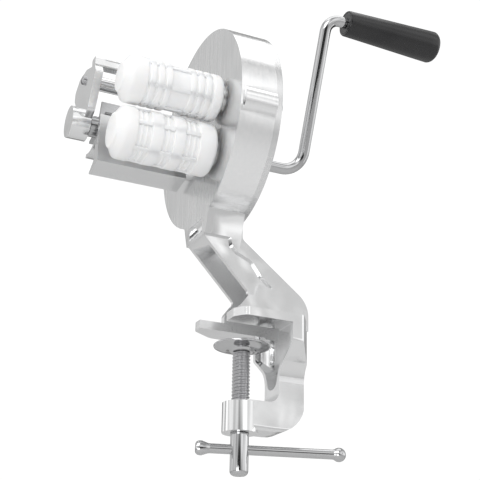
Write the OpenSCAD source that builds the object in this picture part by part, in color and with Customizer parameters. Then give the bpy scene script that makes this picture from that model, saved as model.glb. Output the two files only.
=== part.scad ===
// Hand cranked pasta roller and cutter on a table clamp.
// Origin: where the clamp screw's axis crosses the underside of the foot.
// X runs along the crank axis towards the crank, Y away from the rollers, Z up.

/* [Gear housing] */
// Diameter of the round gear housing
drum_d = 124; // [112:1:140]
// Depth of the housing casting from its face to the cover seam
drum_depth = 22; // [21.5:0.5:26]
// Thickness of the housing's rim wall
drum_wall = 4; // [3:0.5:5]
// Thickness of the housing's front wall
face_t = 4; // [3.5:0.25:4.5]
// Thickness of the gear cover
cover_t = 3.8; // [3.2:0.2:6]
// Height of the housing's centre above the underside of the foot
drum_height = 122.6; // [120:0.2:130]
// Distance from the housing's face back to the clamp screw's axis
screw_setback = 31.2; // [29:0.2:33]
// Radius of the screw lugs on the rim
lug_r = 9; // [7:0.5:10]
// How far a screw lug stands proud of the rim
lug_proud = 2.5; // [1:0.5:3]
// Radius of the cover screws' shanks
cover_screw_r = 2; // [1.5:0.25:2.5]

/* [Gear train] */
// Gear module, pitch diameter per tooth
gear_m = 1.25; // [1.2:0.01:1.27]
// Teeth of the pinion on the crank
pinion_teeth = 18; // [18:1:18]
// Teeth of the idler's large wheel
idler_teeth = 36; // [36:1:36]
// Teeth of the idler's small wheel
idler_small_teeth = 20; // [20:1:20]
// Teeth of the wheel on each roller shaft
roller_teeth = 25; // [25:1:25]
// Face width of each toothed wheel
gear_w = 6; // [4:0.25:6.2]
// Tooth play at the pitch circle
backlash = 0.24; // [0.16:0.02:0.4]
// Running gap between a wheel's side and the wall beside it
side_gap = 0.6; // [0.4:0.1:0.8]

/* [Rollers] */
// Largest radius of the upper roller
upper_r = 14; // [12:0.25:14.5]
// Largest radius of the lower roller
lower_r = 15.7; // [14:0.25:16]
// Length of each roller
roller_len = 60; // [50:1:61]
// Gap from a roller's end to the housing's face
roller_gap = 2.2; // [2:0.1:3]
// Depth of the recessed bands in the lower roller
band_depth = 1.7; // [1:0.1:2.5]
// Depth of the narrow ring grooves in the upper roller
groove_depth = 1; // [0.6:0.1:1.6]
// Width of a narrow ring groove
groove_w = 2; // [1.4:0.1:2.4]
// Width of the long ribs that cross the pockets
rib_w = 3; // [2:0.25:4]
// Number of long ribs round each roller
rib_count = 6; // [4:1:8]
// Radius of the roller shafts
shaft_r = 4; // [3.5:0.1:4.4]
// Distance of the lower roller's axis in front of the housing's centre
lower_axis_y = -21; // [-22:0.25:-20]
// Height of the lower roller's axis against the housing's centre
lower_axis_z = -25; // [-26:0.25:-24]
// Angle from the lower roller's axis up to the upper roller's axis
nip_angle = 106.6; // [104:0.2:109]

/* [Crank] */
// Distance of the crank axis behind the housing's centre
crank_axis_y = 31.25; // [30.5:0.25:32]
// Height of the crank axis against the housing's centre
crank_axis_z = 2.2; // [1.5:0.1:3]
// Radius of the crank rod
rod_r = 3.7; // [3.4:0.1:4]
// Distance from the crank axis to the grip's axis
crank_throw = 104.8; // [85:0.2:120]
// Distance from the housing's face to the crank arm
arm_reach = 85.1; // [70:0.1:95]
// Bend radius beside the shaft
low_bend_r = 14; // [9:0.5:16]
// Bend radius beside the grip
high_bend_r = 9; // [6:0.5:12]
// Lean of the crank arm towards the rollers at rest
crank_lean = 22; // [0:0.2:90]
// Length of the grip
grip_len = 70.5; // [60:0.5:90]
// Radius of the grip at the rod
grip_r_near = 8.6; // [7.5:0.1:10]
// Radius of the grip at its free end
grip_r_far = 11; // [9:0.1:13]
// Radius of the turned pin that the grip spins on
grip_pin_r = 3; // [2.5:0.1:3.3]

/* [Cutter and trough] */
// Radius swept by the cutter's blades
cutter_r = 16.5; // [15:0.25:17]
// Thickness of a cutter blade
blade_t = 1.6; // [1.2:0.1:2.4]
// Number of cutter blades
blade_count = 6; // [3:1:8]
// Angle of the first blade from upright, towards the user, as photographed
blade_lean = 20; // [0:1:60]
// Running gap between the blades and the forming surface
form_gap = 0.7; // [0.5:0.05:1]
// Thickness of the trough's front wall below the cutter
trough_wall = 7.5; // [6:0.25:9]
// Depth of the trough below the crank axis
trough_depth = 29; // [26:0.5:32]
// Length of the lip behind the trough's wall
lip_len = 11; // [8:0.5:14]

/* [End bracket] */
// Distance from the housing's face to the end bracket
bracket_reach = 62.2; // [62:0.1:63]
// Thickness of the end bracket's plate
bracket_t = 4.8; // [4:0.2:6]
// Radius of the bearing boss on the end bracket
knuckle_r = 10; // [8:0.25:11]
// How far the bearing boss stands out from the plate
knuckle_out = 6.8; // [5:0.2:9]
// Width of the upper tie bar
tie_w = 7; // [6:0.5:8]
// Height of the upper tie bar
tie_h = 6.4; // [6:0.2:8]
// Radius of the round post beside the tie bar
post_r = 4.5; // [4:0.25:5.5]

/* [Arm and clamp] */
// Half the width of the arm's flange
flange_half = 14; // [13:0.5:16]
// Half the width across the arm's side walls
wall_half = 12; // [11:0.25:12.5]
// Thickness of the arm's side walls
wall_t = 2.5; // [2:0.25:4]
// Reach of the clamp frame from the screw's axis
frame_reach = 36; // [33:0.5:44]
// Half the width of the foot across both pads
foot_half = 26.5; // [22:0.5:30]
// Thickness of the foot's pads
pad_t = 5; // [4:0.5:7]
// Clamp opening from the foot down to the lower arm
throat_h = 43.2; // [40:0.2:60]
// Height of the lower arm
lower_arm_h = 17.8; // [15:0.2:24]
// Half the width of the clamp frame's column
column_half = 9.5; // [8.5:0.25:10.5]
// Height above the lower arm at which the column starts to spread to the pads
spread_h = 19.5; // [16:0.5:24]
// Thickness of the column's side walls
yoke_t = 3; // [2.5:0.25:4]
// Radius of the threaded boss
boss_r = 10.3; // [8.5:0.1:12]

/* [Clamp screw] */
// Radius of the clamp screw
screw_r = 5.2; // [4.4:0.1:5.8]
// Pitch of the clamp thread
pitch = 2; // [1.5:0.25:2.5]
// Depth of the thread
thread_depth = 0.8; // [0.5:0.1:1]
// Gap between the foot and the pressure disc at rest
disc_gap = 9.9; // [8:0.1:12]
// Radius of the pressure disc
disc_r = 16.3; // [13:0.1:17]
// Thickness of the pressure disc's rim
disc_rim = 2.3; // [1.8:0.1:3]
// Length of the plain shank below the boss
shank_len = 23.3; // [20:0.5:34]
// Radius of the cross bar
bar_r = 2.75; // [2.2:0.05:3]
// Length of the cross bar on its long side at rest
bar_long = 56.6; // [45:0.5:80]
// Length of the cross bar on its short side at rest
bar_short = 16.9; // [14:0.5:20]
// Direction of the cross bar about the screw at rest
bar_turn = -15.8; // [-60:0.2:60]
// Radius of the cross bar's ball end
ball_r = 4; // [3.6:0.1:5.5]

/* [Hidden] */
$fn = 96;

// Clearances and overruns
over = 1;
run_gap = 0.05;
fit_gap = 0.03;
seat_gap = 0.3;

// Places worked out from the sizes above
drum_r = drum_d / 2;
cavity_r = drum_r - drum_wall;
cover_x = drum_depth;
inner_rise = 2;
inner_t = face_t + inner_rise;
wheel_b_x = inner_t + side_gap;
wheel_a_x = cover_x - side_gap - gear_w;
train_w = wheel_a_x - wheel_b_x;
screw_ring_r = drum_r - lug_r + lug_proud;
lug_angles = [187, 7, 90, 270];
function lug_at(a) = screw_ring_r * [cos(a), sin(a)];
pin_pitch_r = gear_m * pinion_teeth / 2;
idler_pitch_r = gear_m * idler_teeth / 2;
roller_pitch_r = gear_m * roller_teeth / 2;
lower_axis = [lower_axis_y, lower_axis_z];
crank_axis = [crank_axis_y, crank_axis_z];
upper_axis = lower_axis + 2 * roller_pitch_r * [cos(nip_angle), sin(nip_angle)];
// The idler sits where it meshes with both the pinion and the upper roller's wheel
near_mesh = pin_pitch_r + idler_pitch_r;
small_pitch_r = gear_m * idler_small_teeth / 2;
far_mesh = small_pitch_r + roller_pitch_r;
span = upper_axis - crank_axis;
span_len = norm(span);
span_angle = atan2(span[1], span[0]);
mesh_angle = acos((near_mesh * near_mesh + span_len * span_len - far_mesh * far_mesh)
                  / (2 * near_mesh * span_len));
idler_dir = span_angle - mesh_angle;
idler_axis = crank_axis + near_mesh * [cos(idler_dir), sin(idler_dir)];
upper_dir = atan2(upper_axis[1] - idler_axis[1], upper_axis[0] - idler_axis[0]);
upper_phase = upper_dir + 180 + 180 / roller_teeth;

// Points on a corner of radius r between the lines to a and to b
corner_steps = 8;
function unit(v) = v / norm(v);
function corner(a, p, b, r) =
    r == 0 ? [p] :
    let(u = unit(a - p), v = unit(b - p),
        half = acos(min(1, max(-1, u * v))) / 2,
        c = p + unit(u + v) * r / sin(half),
        t0 = p + u * r / tan(half), t1 = p + v * r / tan(half),
        a0 = atan2(t0[1] - c[1], t0[0] - c[0]),
        a1 = atan2(t1[1] - c[1], t1[0] - c[0]),
        turn = (a1 - a0 + 540) % 360 - 180)
    [for (i = [0:corner_steps]) let(a = a0 + turn * i / corner_steps) c + r * [cos(a), sin(a)]];
// An outline whose points are [x, y, corner radius]
function outline(pts) =
    let(n = len(pts))
    [for (i = [0:n - 1])
        let(a = pts[(i + n - 1) % n], p = pts[i], b = pts[(i + 1) % n])
        each corner([a[0], a[1]], [p[0], p[1]], [b[0], b[1]], p[2])];

// Involute tooth outline
pressure = 20;
flank_steps = 4;
addendum_share = 1;
dedendum_share = 1.2;
function involute(a) = tan(a) * 180 / PI - a;
function tooth_half(rad, pitch_rad, teeth) =
    let(base = pitch_rad * cos(pressure), at = rad <= base ? 0 : acos(base / rad))
    90 / teeth - backlash / 2 / pitch_rad * 90 / PI + involute(pressure) - involute(at);
function gear_points(teeth) =
    let(pr = gear_m * teeth / 2, root = pr - dedendum_share * gear_m, tip = pr + addendum_share * gear_m,
        low = max(root, pr * cos(pressure)),
        rads = [root, each [for (i = [0:flank_steps]) low + (tip - low) * i / flank_steps]],
        n = len(rads))
    [for (k = [0:teeth - 1], side = [-1, 1], j = [0:n - 1])
        let(rad = side < 0 ? rads[j] : rads[n - 1 - j],
            a = 360 * k / teeth + side * tooth_half(rad, pr, teeth))
        rad * [cos(a), sin(a)]];

// Everything above the clamp is placed from the centre of the housing's face
module at_drum() {
    translate([-screw_setback, 0, drum_height]) children();
}
// A round bar along X at a place [y, z]
module x_rod(r, x0, x1, at = [0, 0]) {
    translate([x0, at[0], at[1]]) rotate([0, 90, 0]) cylinder(r = r, h = x1 - x0);
}
// A shape drawn in Y and Z, pulled along X
module x_bar(x0, x1) {
    translate([x0, 0, 0]) rotate([90, 0, 90]) linear_extrude(x1 - x0) children();
}
// A shape drawn in X and Z, pulled along Y
module y_bar(y0, y1) {
    translate([0, y1, 0]) rotate([90, 0, 0]) linear_extrude(y1 - y0) children();
}
// A toothed wheel with a bore, a tooth pointing at angle turn
module wheel(teeth, x, turn, bore) {
    translate([x, 0, 0]) rotate([90, 0, 90]) linear_extrude(gear_w) difference() {
        rotate(turn) polygon(gear_points(teeth));
        circle(r = bore);
    }
}

// Cast outlines in X and Z, measured from the centre of the housing's face
neck_w = 24;
neck_top_half = 19;
neck_low_half = 14;
neck_top_z = drum_r * cos(asin(neck_top_half / drum_r));
neck_low_z = 73;
back_x = screw_setback + frame_reach;
back_slope = 0.767;
back_z = neck_low_z + back_slope * (back_x - neck_w);
foot_z = drum_height;
throat_z = foot_z + throat_h;
frame_low_z = throat_z + lower_arm_h;
front_edge_x = 30;
front_edge_z = 104.5;
foot_step_x = 24;
cast_round = 3;
neck_round = 4;
shoulder_r = 16;
heel_r = 18.4;
column_x = 50.8;
back_wall = 7.7;
pocket_x = back_x - back_wall;

module arm_outline() {
    polygon(outline([[0, -cavity_r, 0], [neck_w, -cavity_r, 0], [neck_w, -neck_low_z, neck_round],
                     [back_x, -back_z, shoulder_r], [back_x, -foot_z, 0], [foot_step_x, -foot_z, 0],
                     [foot_step_x, -foot_z + 2 * pad_t, cast_round],
                     [front_edge_x, -front_edge_z, cast_round],
                     [0, -neck_low_z, cast_round]]));
}
// The arm's hollow, open to the front and down into the pocket of the clamp frame
ledge_h = 2.5;
hollow_x = 16.5;
hollow_drop = 3.5;
module arm_hollow() {
    top = -neck_low_z - ledge_h;
    low = -foot_z - pad_t;
    polygon(outline([[-drum_r, top, 0], [hollow_x, top, cast_round],
                     [pocket_x, -back_z - hollow_drop, neck_round], [pocket_x, low, 0], [-drum_r, low, 0]]));
}
// The waist between the housing and the rounded ledge at the top of the hollow
waist_r = 4.6;
waist_x = -1.2;
module arm_waist() {
    translate([waist_x, -(drum_r + neck_low_z) / 2 + over]) circle(r = waist_r);
}
// The scooped field on each side of the arm, as shares of the arm's reach back and of its drop
scoop_shares = [[0.235, 0.645], [0.259, 0.73], [0.32, 0.769], [0.454, 0.806],
                [0.543, 0.881], [0.664, 0.95], [0.518, 0.931], [0.497, 0.999]];
scoop_rounds = [4, 5, 4, 6, 8, 0.5, 0.5, 0];
module arm_scoop() {
    top = -scoop_shares[0][1] * back_z;
    low = -scoop_shares[7][1] * back_z;
    polygon(outline(concat([[-drum_r, top, 0]],
        [for (i = [0:7]) [scoop_shares[i][0] * back_x, -scoop_shares[i][1] * back_z, scoop_rounds[i]]],
        [[-drum_r, low, 0]])));
}
// Clamp frame seen from the side: column, heel and lower arm
arm_lift = 1.2;
column_top = pad_t;
throat_round = 6;
module frame_side() {
    polygon(outline([[column_x, -foot_z + column_top, 0], [back_x, -foot_z + column_top, 0],
                     [back_x, -frame_low_z + arm_lift, heel_r], [screw_setback, -frame_low_z + arm_lift, 0],
                     [screw_setback, -throat_z, 0], [column_x, -throat_z, throat_round]]));
}
// Clamp frame seen from the front: a narrow column that spreads to the width of the foot
flare_drop = 6;
flare_round = 14;
spread_low = -throat_z + spread_h;
spread_high = -foot_z - pad_t - flare_drop;
module frame_front(inset) {
    half = column_half - inset;
    wide = foot_half - inset;
    low = inset == 0 ? -frame_low_z : pocket_low;
    end_round = inset == 0 ? neck_round : half - over;
    top = -foot_z + column_top + inset;
    polygon(outline([[-half, low, end_round], [half, low, end_round],
                     [half, spread_low, flare_round], [wide, spread_high, neck_round], [wide, top, 0],
                     [-wide, top, 0], [-wide, spread_high, neck_round], [-half, spread_low, flare_round]]));
}
// Clamp frame seen from above: full width at the front, slanting in to the back flange
shoulder_x = 57.8;
back_inset = 1;
spine_half = 4;
web_back = 6.8;
module frame_plan(inset) {
    side = shoulder_x - inset;
    back = back_x - inset - back_inset;
    spine = back_x - web_back * inset / yoke_t;
    wide = foot_half - inset;
    edge = flange_half - 2 * inset;
    polygon(outline([[-drum_r, -wide, 0], [side, -wide, cast_round], [back, -edge, cast_round],
                     [spine, -spine_half, 0], [spine, spine_half, 0], [back, edge, cast_round],
                     [side, wide, cast_round], [-drum_r, wide, 0]]));
}
pocket_rise = 9.5;
pocket_ramp = 14;
pocket_low = -throat_z + pocket_rise;
module pocket_side() {
    front = column_x - over;
    top = -foot_z - over;
    polygon(outline([[front, pocket_low - over, 0], [column_x + yoke_t, pocket_low - over, cast_round / 2],
                     [pocket_x, pocket_low + pocket_ramp, throat_round],
                     [pocket_x, top, 0], [front, top, 0]]));
}
module clamp_frame() {
    difference() {
        intersection() {
            y_bar(-foot_half - over, foot_half + over) frame_side();
            x_bar(0, back_x + over) frame_front(0);
            translate([0, 0, -frame_low_z - over]) linear_extrude(frame_low_z) frame_plan(0);
        }
        intersection() {
            y_bar(-foot_half - over, foot_half + over) pocket_side();
            x_bar(0, back_x + over) frame_front(yoke_t);
            translate([0, 0, -frame_low_z]) linear_extrude(frame_low_z) frame_plan(yoke_t);
        }
    }
}

// Pads of the foot: the near one is short, the far one reaches forward with a cut corner
near_pad_x = 17.2;
near_pad_cut = 7;
far_pad_x = 8.6;
far_pad_cut = 9;
far_pad_round = 8;
pad_corner_x = 22;
module foot_pads() {
    inner = wall_half - wall_t;
    far_back_x = shoulder_x + cast_round;
    near = [[near_pad_x, -foot_half + near_pad_cut, cast_round], [pad_corner_x, -foot_half, neck_round],
            [shoulder_x, -foot_half, neck_round], [shoulder_x, -inner, 0], [near_pad_x, -inner, 0]];
    far = [[far_pad_x, inner, 0], [far_back_x, inner, 0], [far_back_x, foot_half, neck_round],
           [pad_corner_x, foot_half, far_pad_round], [far_pad_x, foot_half - far_pad_cut, neck_round]];
    for (pts = [near, far])
        translate([0, 0, -foot_z]) linear_extrude(pad_t) polygon(outline(pts));
}

module body_shell() {
    x_rod(drum_r, 0, drum_depth);
    for (a = [lug_angles[0], lug_angles[1]])
        x_rod(lug_r, face_t / 2, drum_depth, lug_at(a));
    x_bar(0, neck_w - over)
        polygon([[-neck_top_half, -neck_top_z], [neck_top_half, -neck_top_z],
                 [neck_low_half, -neck_low_z], [-neck_low_half, -neck_low_z]]);
    y_bar(-wall_half, wall_half) arm_outline();
    y_bar(-flange_half, flange_half) difference() {
        arm_outline();
        arm_scoop();
    }
    foot_pads();
    clamp_frame();
}

// Tie bars from the housing's face to the end bracket
tie_at = [5.5, 30.4];
tie_panel = 0.8;
tie_frame = 1.3;
post_at = [28, 31];
bush_r = 6;
bush_flange_r = 9;
bush_flange_t = 1;
boss_wall = 4;
boss_drop = 0.8;
head_play = 1.5;
body_screw_r = 1.65;
screw_hole_depth = 13;
inner_boss_r = 5.2;
inner_screw_r = 1.6;
inner_hole_r = 1.25;
inner_head_drop = 2.2;
inner_screw_len = 10;

bush_places = [upper_axis, lower_axis, crank_axis];
// Bosses of the cover's screws inside the housing, relieved where a toothed wheel needs the room
module cover_screw_bosses() {
    wheels = [[upper_axis, roller_teeth], [lower_axis, roller_teeth], [crank_axis, pinion_teeth],
              [idler_axis, idler_teeth]];
    difference() {
        for (a = lug_angles)
            intersection() {
                x_rod(lug_r, face_t - over, drum_depth, lug_at(a));
                x_rod(drum_r - over, 0, drum_depth);
            }
        for (w = wheels)
            x_rod(gear_m * (w[1] / 2 + addendum_share) + side_gap, inner_t, drum_depth + over, w[0]);
    }
}

module body_casting() {
    color([0.78, 0.79, 0.8]) at_drum() difference() {
        union() {
            difference() {
                body_shell();
                x_rod(cavity_r, face_t, drum_depth + over);
                x_rod(drum_r + run_gap, cover_x, back_x + over);
                y_bar(-wall_half + wall_t, wall_half - wall_t) {
                    arm_hollow();
                    arm_waist();
                }
            }
            translate([screw_setback, 0, -frame_low_z]) cylinder(r = boss_r, h = lower_arm_h - boss_drop);
            cover_screw_bosses();
            for (at = bush_places) x_rod(bush_r + boss_wall, face_t - over, inner_t, at);
            x_rod(stud_r + boss_wall, face_t - over, inner_t, idler_axis);
            for (at = inner_screw_at) x_rod(inner_boss_r, face_t - over, inner_t, at);
            x_rod(post_r, -bracket_reach, over, post_at);
        }
        for (at = bush_places) x_rod(bush_r, -over, inner_t + over, at);
        x_rod(stud_r, -over, inner_t + over, idler_axis);
        for (a = lug_angles)
            x_rod(body_screw_r, drum_depth - screw_hole_depth, drum_depth + over, lug_at(a));
        for (at = inner_screw_at) {
            x_rod(inner_screw_r + fit_gap, -over, inner_t + over, at);
            x_rod(inner_boss_r - head_play, inner_t - inner_head_drop, inner_t + over, at);
        }
        x_rod(inner_hole_r, -bracket_reach - over, -bracket_reach + screw_hole_depth, post_at);
        translate([screw_setback, 0, -frame_low_z - over])
            cylinder(r = screw_r + run_gap, h = lower_arm_h + 3 * over);
    }
}

// Gear cover
pocket_r = 2.5;
pocket_depth = 2.6;
cover_boss_r = 11;
cover_boss_out = 4;

module gear_cover() {
    color([0.78, 0.79, 0.8]) at_drum() difference() {
        union() {
            x_rod(drum_r, cover_x, cover_x + cover_t);
            x_rod(cover_boss_r, cover_x, cover_x + cover_t + cover_boss_out, crank_axis);
        }
        for (a = lug_angles)
            x_rod(cover_screw_r + 4 * run_gap, cover_x - over, cover_x + cover_t + over, lug_at(a));
        x_rod(bush_r, cover_x - over, cover_x + cover_t + cover_boss_out + over, crank_axis);
        for (at = [upper_axis, lower_axis])
            x_rod(pocket_r + run_gap, cover_x - over, cover_x + pocket_depth, at);
    }
}

screw_head_r = 3.6;
screw_head_t = 2.4;
dome_share = 2.2;
slot_w = 1;
slot_depth = 1.1;
cover_screw_len = 15;

// A slotted screw along X: head at x, pointing to side, shank through grip, thread into a hole
module x_screw(r, hole_r, x, grip, len, side, at) {
    head = screw_head_r * r / cover_screw_r;
    tall = screw_head_t * r / cover_screw_r;
    translate([x, at[0], at[1]]) rotate([0, side > 0 ? 90 : -90, 0]) difference() {
        union() {
            intersection() {
                cylinder(r = head, h = tall);
                translate([0, 0, tall - dome_share * head]) sphere(r = dome_share * head);
            }
            translate([0, 0, -grip]) cylinder(r = r, h = grip + over / 2);
            translate([0, 0, -grip - len]) cylinder(r = hole_r - fit_gap, h = len + over);
        }
        translate([-head - over, -slot_w / 2, tall - slot_depth])
            cube([2 * (head + over), slot_w, slot_depth + over]);
    }
}

module cover_screws() {
    color([0.7, 0.71, 0.72]) at_drum() for (a = lug_angles)
        x_screw(cover_screw_r, body_screw_r, cover_x + cover_t, cover_t, cover_screw_len - cover_t, 1,
                lug_at(a));
}

// A flanged bush along X whose flange sits at x on the side given
module bush(x, side, len, at, hole) {
    translate([x, at[0], at[1]]) rotate([0, side > 0 ? 90 : -90, 0]) difference() {
        union() {
            cylinder(r = bush_flange_r, h = bush_flange_t);
            translate([0, 0, -len]) cylinder(r = bush_r - fit_gap, h = len + bush_flange_t);
        }
        translate([0, 0, -len - over]) cylinder(r = hole + run_gap, h = len + bush_flange_t + 2 * over);
    }
}
module front_bushes() {
    color([0.45, 0.42, 0.36]) at_drum() {
        bush(0, -1, inner_t, crank_axis, rod_r);
        for (at = [upper_axis, lower_axis]) bush(0, -1, inner_t, at, shaft_r);
    }
}
module cover_bush() {
    len = cover_t + cover_boss_out;
    color([0.45, 0.42, 0.36]) at_drum() bush(cover_x + len, 1, len, crank_axis, rod_r);
}

// End bracket: the plate that joins the tie bars and carries the cutter's outer end
plate_x0 = -bracket_reach - bracket_t;
wall_top_t = 1.5;
trough_front_y = crank_axis_y - cutter_r - form_gap - wall_top_t;
trough_screw_y = trough_front_y + trough_wall / 2;
trough_screw_drops = [14.5, 24];
inner_screw_at = [[tie_at[0] + tie_w / 2, tie_at[1] + tie_h / 2],
                  each [for (drop = trough_screw_drops) [trough_screw_y, -drop]]];

// The plate's outline: left foot, tie bar, post, ear over the crank, and the bearing boss
plate_left = [3.2, 25.5];
plate_post_side = 4;
plate_post_far = 11;
plate_post_top = 5.4;
ear_reach = 16;
ear_low_z = 25;
ear_root = [11.5, 19];
hip_rise = 9.8;
tail = [16, 3];
blind_t = 3;
small_round = 1;
mid_round = 3;
big_round = 5;
module plate_outline() {
    k = crank_axis;
    post_z = post_at[1] + plate_post_top;
    polygon(outline([
        [plate_left[0], plate_left[1], 2 * small_round],
        [tie_at[0] + small_round, tie_at[1] + small_round, small_round],
        [tie_at[0] + tie_w, tie_at[1] + 2 * small_round, small_round],
        [post_at[0] - plate_post_side, post_z, mid_round], [post_at[0] + plate_post_far, post_z, mid_round],
        [k[0] + ear_reach, post_at[1], mid_round], [k[0] + ear_reach, ear_low_z, mid_round],
        [k[0] + ear_root[0], ear_root[1], big_round], [k[0] + knuckle_r, k[1] + hip_rise, mid_round],
        [k[0] + knuckle_r, k[1], 0], [k[0], k[1] - knuckle_r, 0], [k[0] - knuckle_r, k[1], 0],
        [k[0] - tail[0], k[1] + tail[1], big_round]]));
}
module tie_outline() {
    polygon(outline([
        [tie_at[0], tie_at[1], small_round], [tie_at[0] + tie_w, tie_at[1], small_round],
        [tie_at[0] + tie_w, tie_at[1] + tie_h, small_round],
        [tie_at[0], tie_at[1] + tie_h, 2 * small_round]]));
}
module end_bracket() {
    k = crank_axis;
    color([0.78, 0.79, 0.8]) at_drum() difference() {
        union() {
            x_bar(plate_x0, -bracket_reach) plate_outline();
            x_rod(knuckle_r, plate_x0 - knuckle_out, -bracket_reach, k);
            difference() {
                x_bar(plate_x0, 0) tie_outline();
                translate([-bracket_reach + tie_frame, tie_at[0] - over, tie_at[1] + tie_frame])
                    cube([bracket_reach - 2 * tie_frame - over, over + tie_panel, tie_h - 2 * tie_frame]);
            }
        }
        x_rod(rod_r + run_gap, plate_x0 - knuckle_out + blind_t, -bracket_reach + over, k);
        x_rod(inner_screw_r + fit_gap, plate_x0 - over, -bracket_reach + over, post_at);
        x_rod(inner_hole_r, -inner_screw_len, over, inner_screw_at[0]);
    }
}
module bracket_screws() {
    color([0.7, 0.71, 0.72]) at_drum() {
        x_screw(inner_screw_r, inner_hole_r, plate_x0, bracket_t, inner_screw_len - over, -1, post_at);
        x_screw(inner_screw_r, inner_hole_r, inner_t - inner_head_drop, inner_t - inner_head_drop,
                inner_screw_len - over, 1, inner_screw_at[0]);
    }
}

// Forming trough: front wall, curved ribbed ledge under the cutter, and lip
trough_end_gap = 2.8;
trough_x0 = -bracket_reach + trough_end_gap;
trough_x1 = -trough_end_gap;
form_r = cutter_r + form_gap;
ledge_t = 2.6;
form_end = 292;
wall_top_z = 2.4;
edge_round = 0.6;
lip_drop = 3;
lip_rise = 3.5;
lip_step = 0.5;
pad_inset = 0.1;

module trough_outline() {
    k = crank_axis;
    wall_out = trough_front_y;
    wall_in = wall_out + trough_wall;
    difference() {
        union() {
            polygon(outline([[wall_out, wall_top_z, edge_round], [wall_out, -trough_depth, edge_round],
                             [wall_in + lip_len, -trough_depth - lip_drop, edge_round],
                             [wall_in - lip_step, -trough_depth + lip_rise, lip_drop],
                             [wall_in - lip_step, wall_top_z, 0]]));
            intersection() {
                translate(k) circle(r = form_r + ledge_t);
                polygon([[wall_out + over, wall_top_z], k,
                         k + 2 * trough_depth * [cos(form_end), sin(form_end)],
                         [wall_out + over, -2 * trough_depth]]);
            }
        }
        translate(k) circle(r = form_r);
    }
}
// Forming ribs: narrow grooves that leave the pasta ridged
form_groove_w = 1.4;
form_groove_pitch = 3.2;
form_groove_depth = 0.8;
groove_margin = 7;
module form_trough() {
    color([0.72, 0.73, 0.74]) at_drum() difference() {
        union() {
            x_bar(trough_x0, trough_x1) trough_outline();
            for (i = [1, 2]) x_rod(trough_wall / 2 - pad_inset, trough_x1 - over, 0, inner_screw_at[i]);
        }
        for (x = [trough_x0 + groove_margin : form_groove_pitch : trough_x1 - groove_margin])
            x_rod(form_r + form_groove_depth, x, x + form_groove_w, crank_axis);
        for (i = [1, 2]) x_rod(inner_hole_r, -inner_screw_len, over, inner_screw_at[i]);
    }
}
module trough_screws() {
    color([0.7, 0.71, 0.72]) at_drum() for (i = [1, 2])
        x_screw(inner_screw_r, inner_hole_r, inner_t - inner_head_drop, inner_t - inner_head_drop,
                inner_screw_len - over, 1, inner_screw_at[i]);
}

// Crank: one bent rod that is the shaft, the arm and the grip's pin
shaft_end_x = plate_x0 - knuckle_out + blind_t + seat_gap;
rod_straight = 4.6;
grip_x0 = arm_reach + high_bend_r + rod_straight;
grip_screw_in = 9;
grip_recess = 6.4;
pin_len = grip_len - grip_recess + seat_gap;

module at_crank() {
    at_drum() translate([0, crank_axis[0], crank_axis[1]]) rotate([crank_lean, 0, 0]) children();
}
// A hole for a cross pin through a round piece of radius r on the crank's axis
module cross_hole(x, r) {
    translate([x, 0, -r - over]) cylinder(r = key_r + run_gap, h = 2 * (r + over));
}
module crank_rod() {
    color([0.72, 0.73, 0.75]) at_crank() difference() {
        union() {
            x_rod(rod_r, shaft_end_x, arm_reach - low_bend_r);
            translate([arm_reach - low_bend_r, 0, low_bend_r]) rotate([90, 0, 0]) rotate([0, 0, -90])
                rotate_extrude(angle = 90) translate([low_bend_r, 0]) circle(r = rod_r);
            translate([arm_reach, 0, low_bend_r])
                cylinder(r = rod_r, h = crank_throw - low_bend_r - high_bend_r);
            translate([arm_reach + high_bend_r, 0, crank_throw - high_bend_r]) rotate([90, 0, 0])
                rotate([0, 0, 90]) rotate_extrude(angle = 90) translate([high_bend_r, 0]) circle(r = rod_r);
            x_rod(rod_r, arm_reach + high_bend_r, grip_x0 - seat_gap, [0, crank_throw]);
            x_rod(grip_pin_r, grip_x0 - over, grip_x0 + pin_len, [0, crank_throw]);
        }
        cross_hole(wheel_a_x + gear_w / 2, rod_r);
        for (x = cutter_pin_x) cross_hole(x, rod_r);
        pin_end = grip_x0 + pin_len;
        x_rod(grip_screw_r, pin_end - grip_screw_in - over, pin_end + over, [0, crank_throw]);
    }
}
key_r = 1.2;
grip_screw_r = 1.5;
cutter_play = 1.2;
cutter_x0 = -bracket_reach + cutter_play;
cutter_x1 = -bush_flange_t - cutter_play;
cutter_hub_r = 6.4;
cutter_pin_in = 2.8;
cutter_pin_x = [cutter_x0 + cutter_pin_in, cutter_x1 - cutter_pin_in];
blade_margin = 5.5;

module drive_pinion() {
    color([0.6, 0.6, 0.58]) at_drum() translate([0, crank_axis[0], crank_axis[1]]) difference() {
        wheel(pinion_teeth, wheel_a_x, idler_dir, rod_r + run_gap);
        rotate([crank_lean, 0, 0]) cross_hole(wheel_a_x + gear_w / 2, pin_pitch_r + gear_m);
    }
}
module pinion_pin() {
    color([0.5, 0.5, 0.5]) at_crank() translate([wheel_a_x + gear_w / 2, 0, -pin_pitch_r + 2 * gear_m])
        cylinder(r = key_r, h = 2 * (pin_pitch_r - 2 * gear_m));
}
module cutter_rotor() {
    color([0.66, 0.67, 0.69]) at_crank() difference() {
        union() {
            x_rod(cutter_hub_r, cutter_x0, cutter_x1);
            for (i = [0:blade_count - 1]) rotate([360 * i / blade_count + blade_lean - crank_lean, 0, 0])
                translate([cutter_x0 + blade_margin, -blade_t / 2, 0])
                    cube([cutter_x1 - cutter_x0 - 2 * blade_margin, blade_t, cutter_r]);
        }
        x_rod(rod_r + run_gap, cutter_x0 - over, cutter_x1 + over);
        for (x = cutter_pin_x) cross_hole(x, cutter_hub_r);
    }
}
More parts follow.
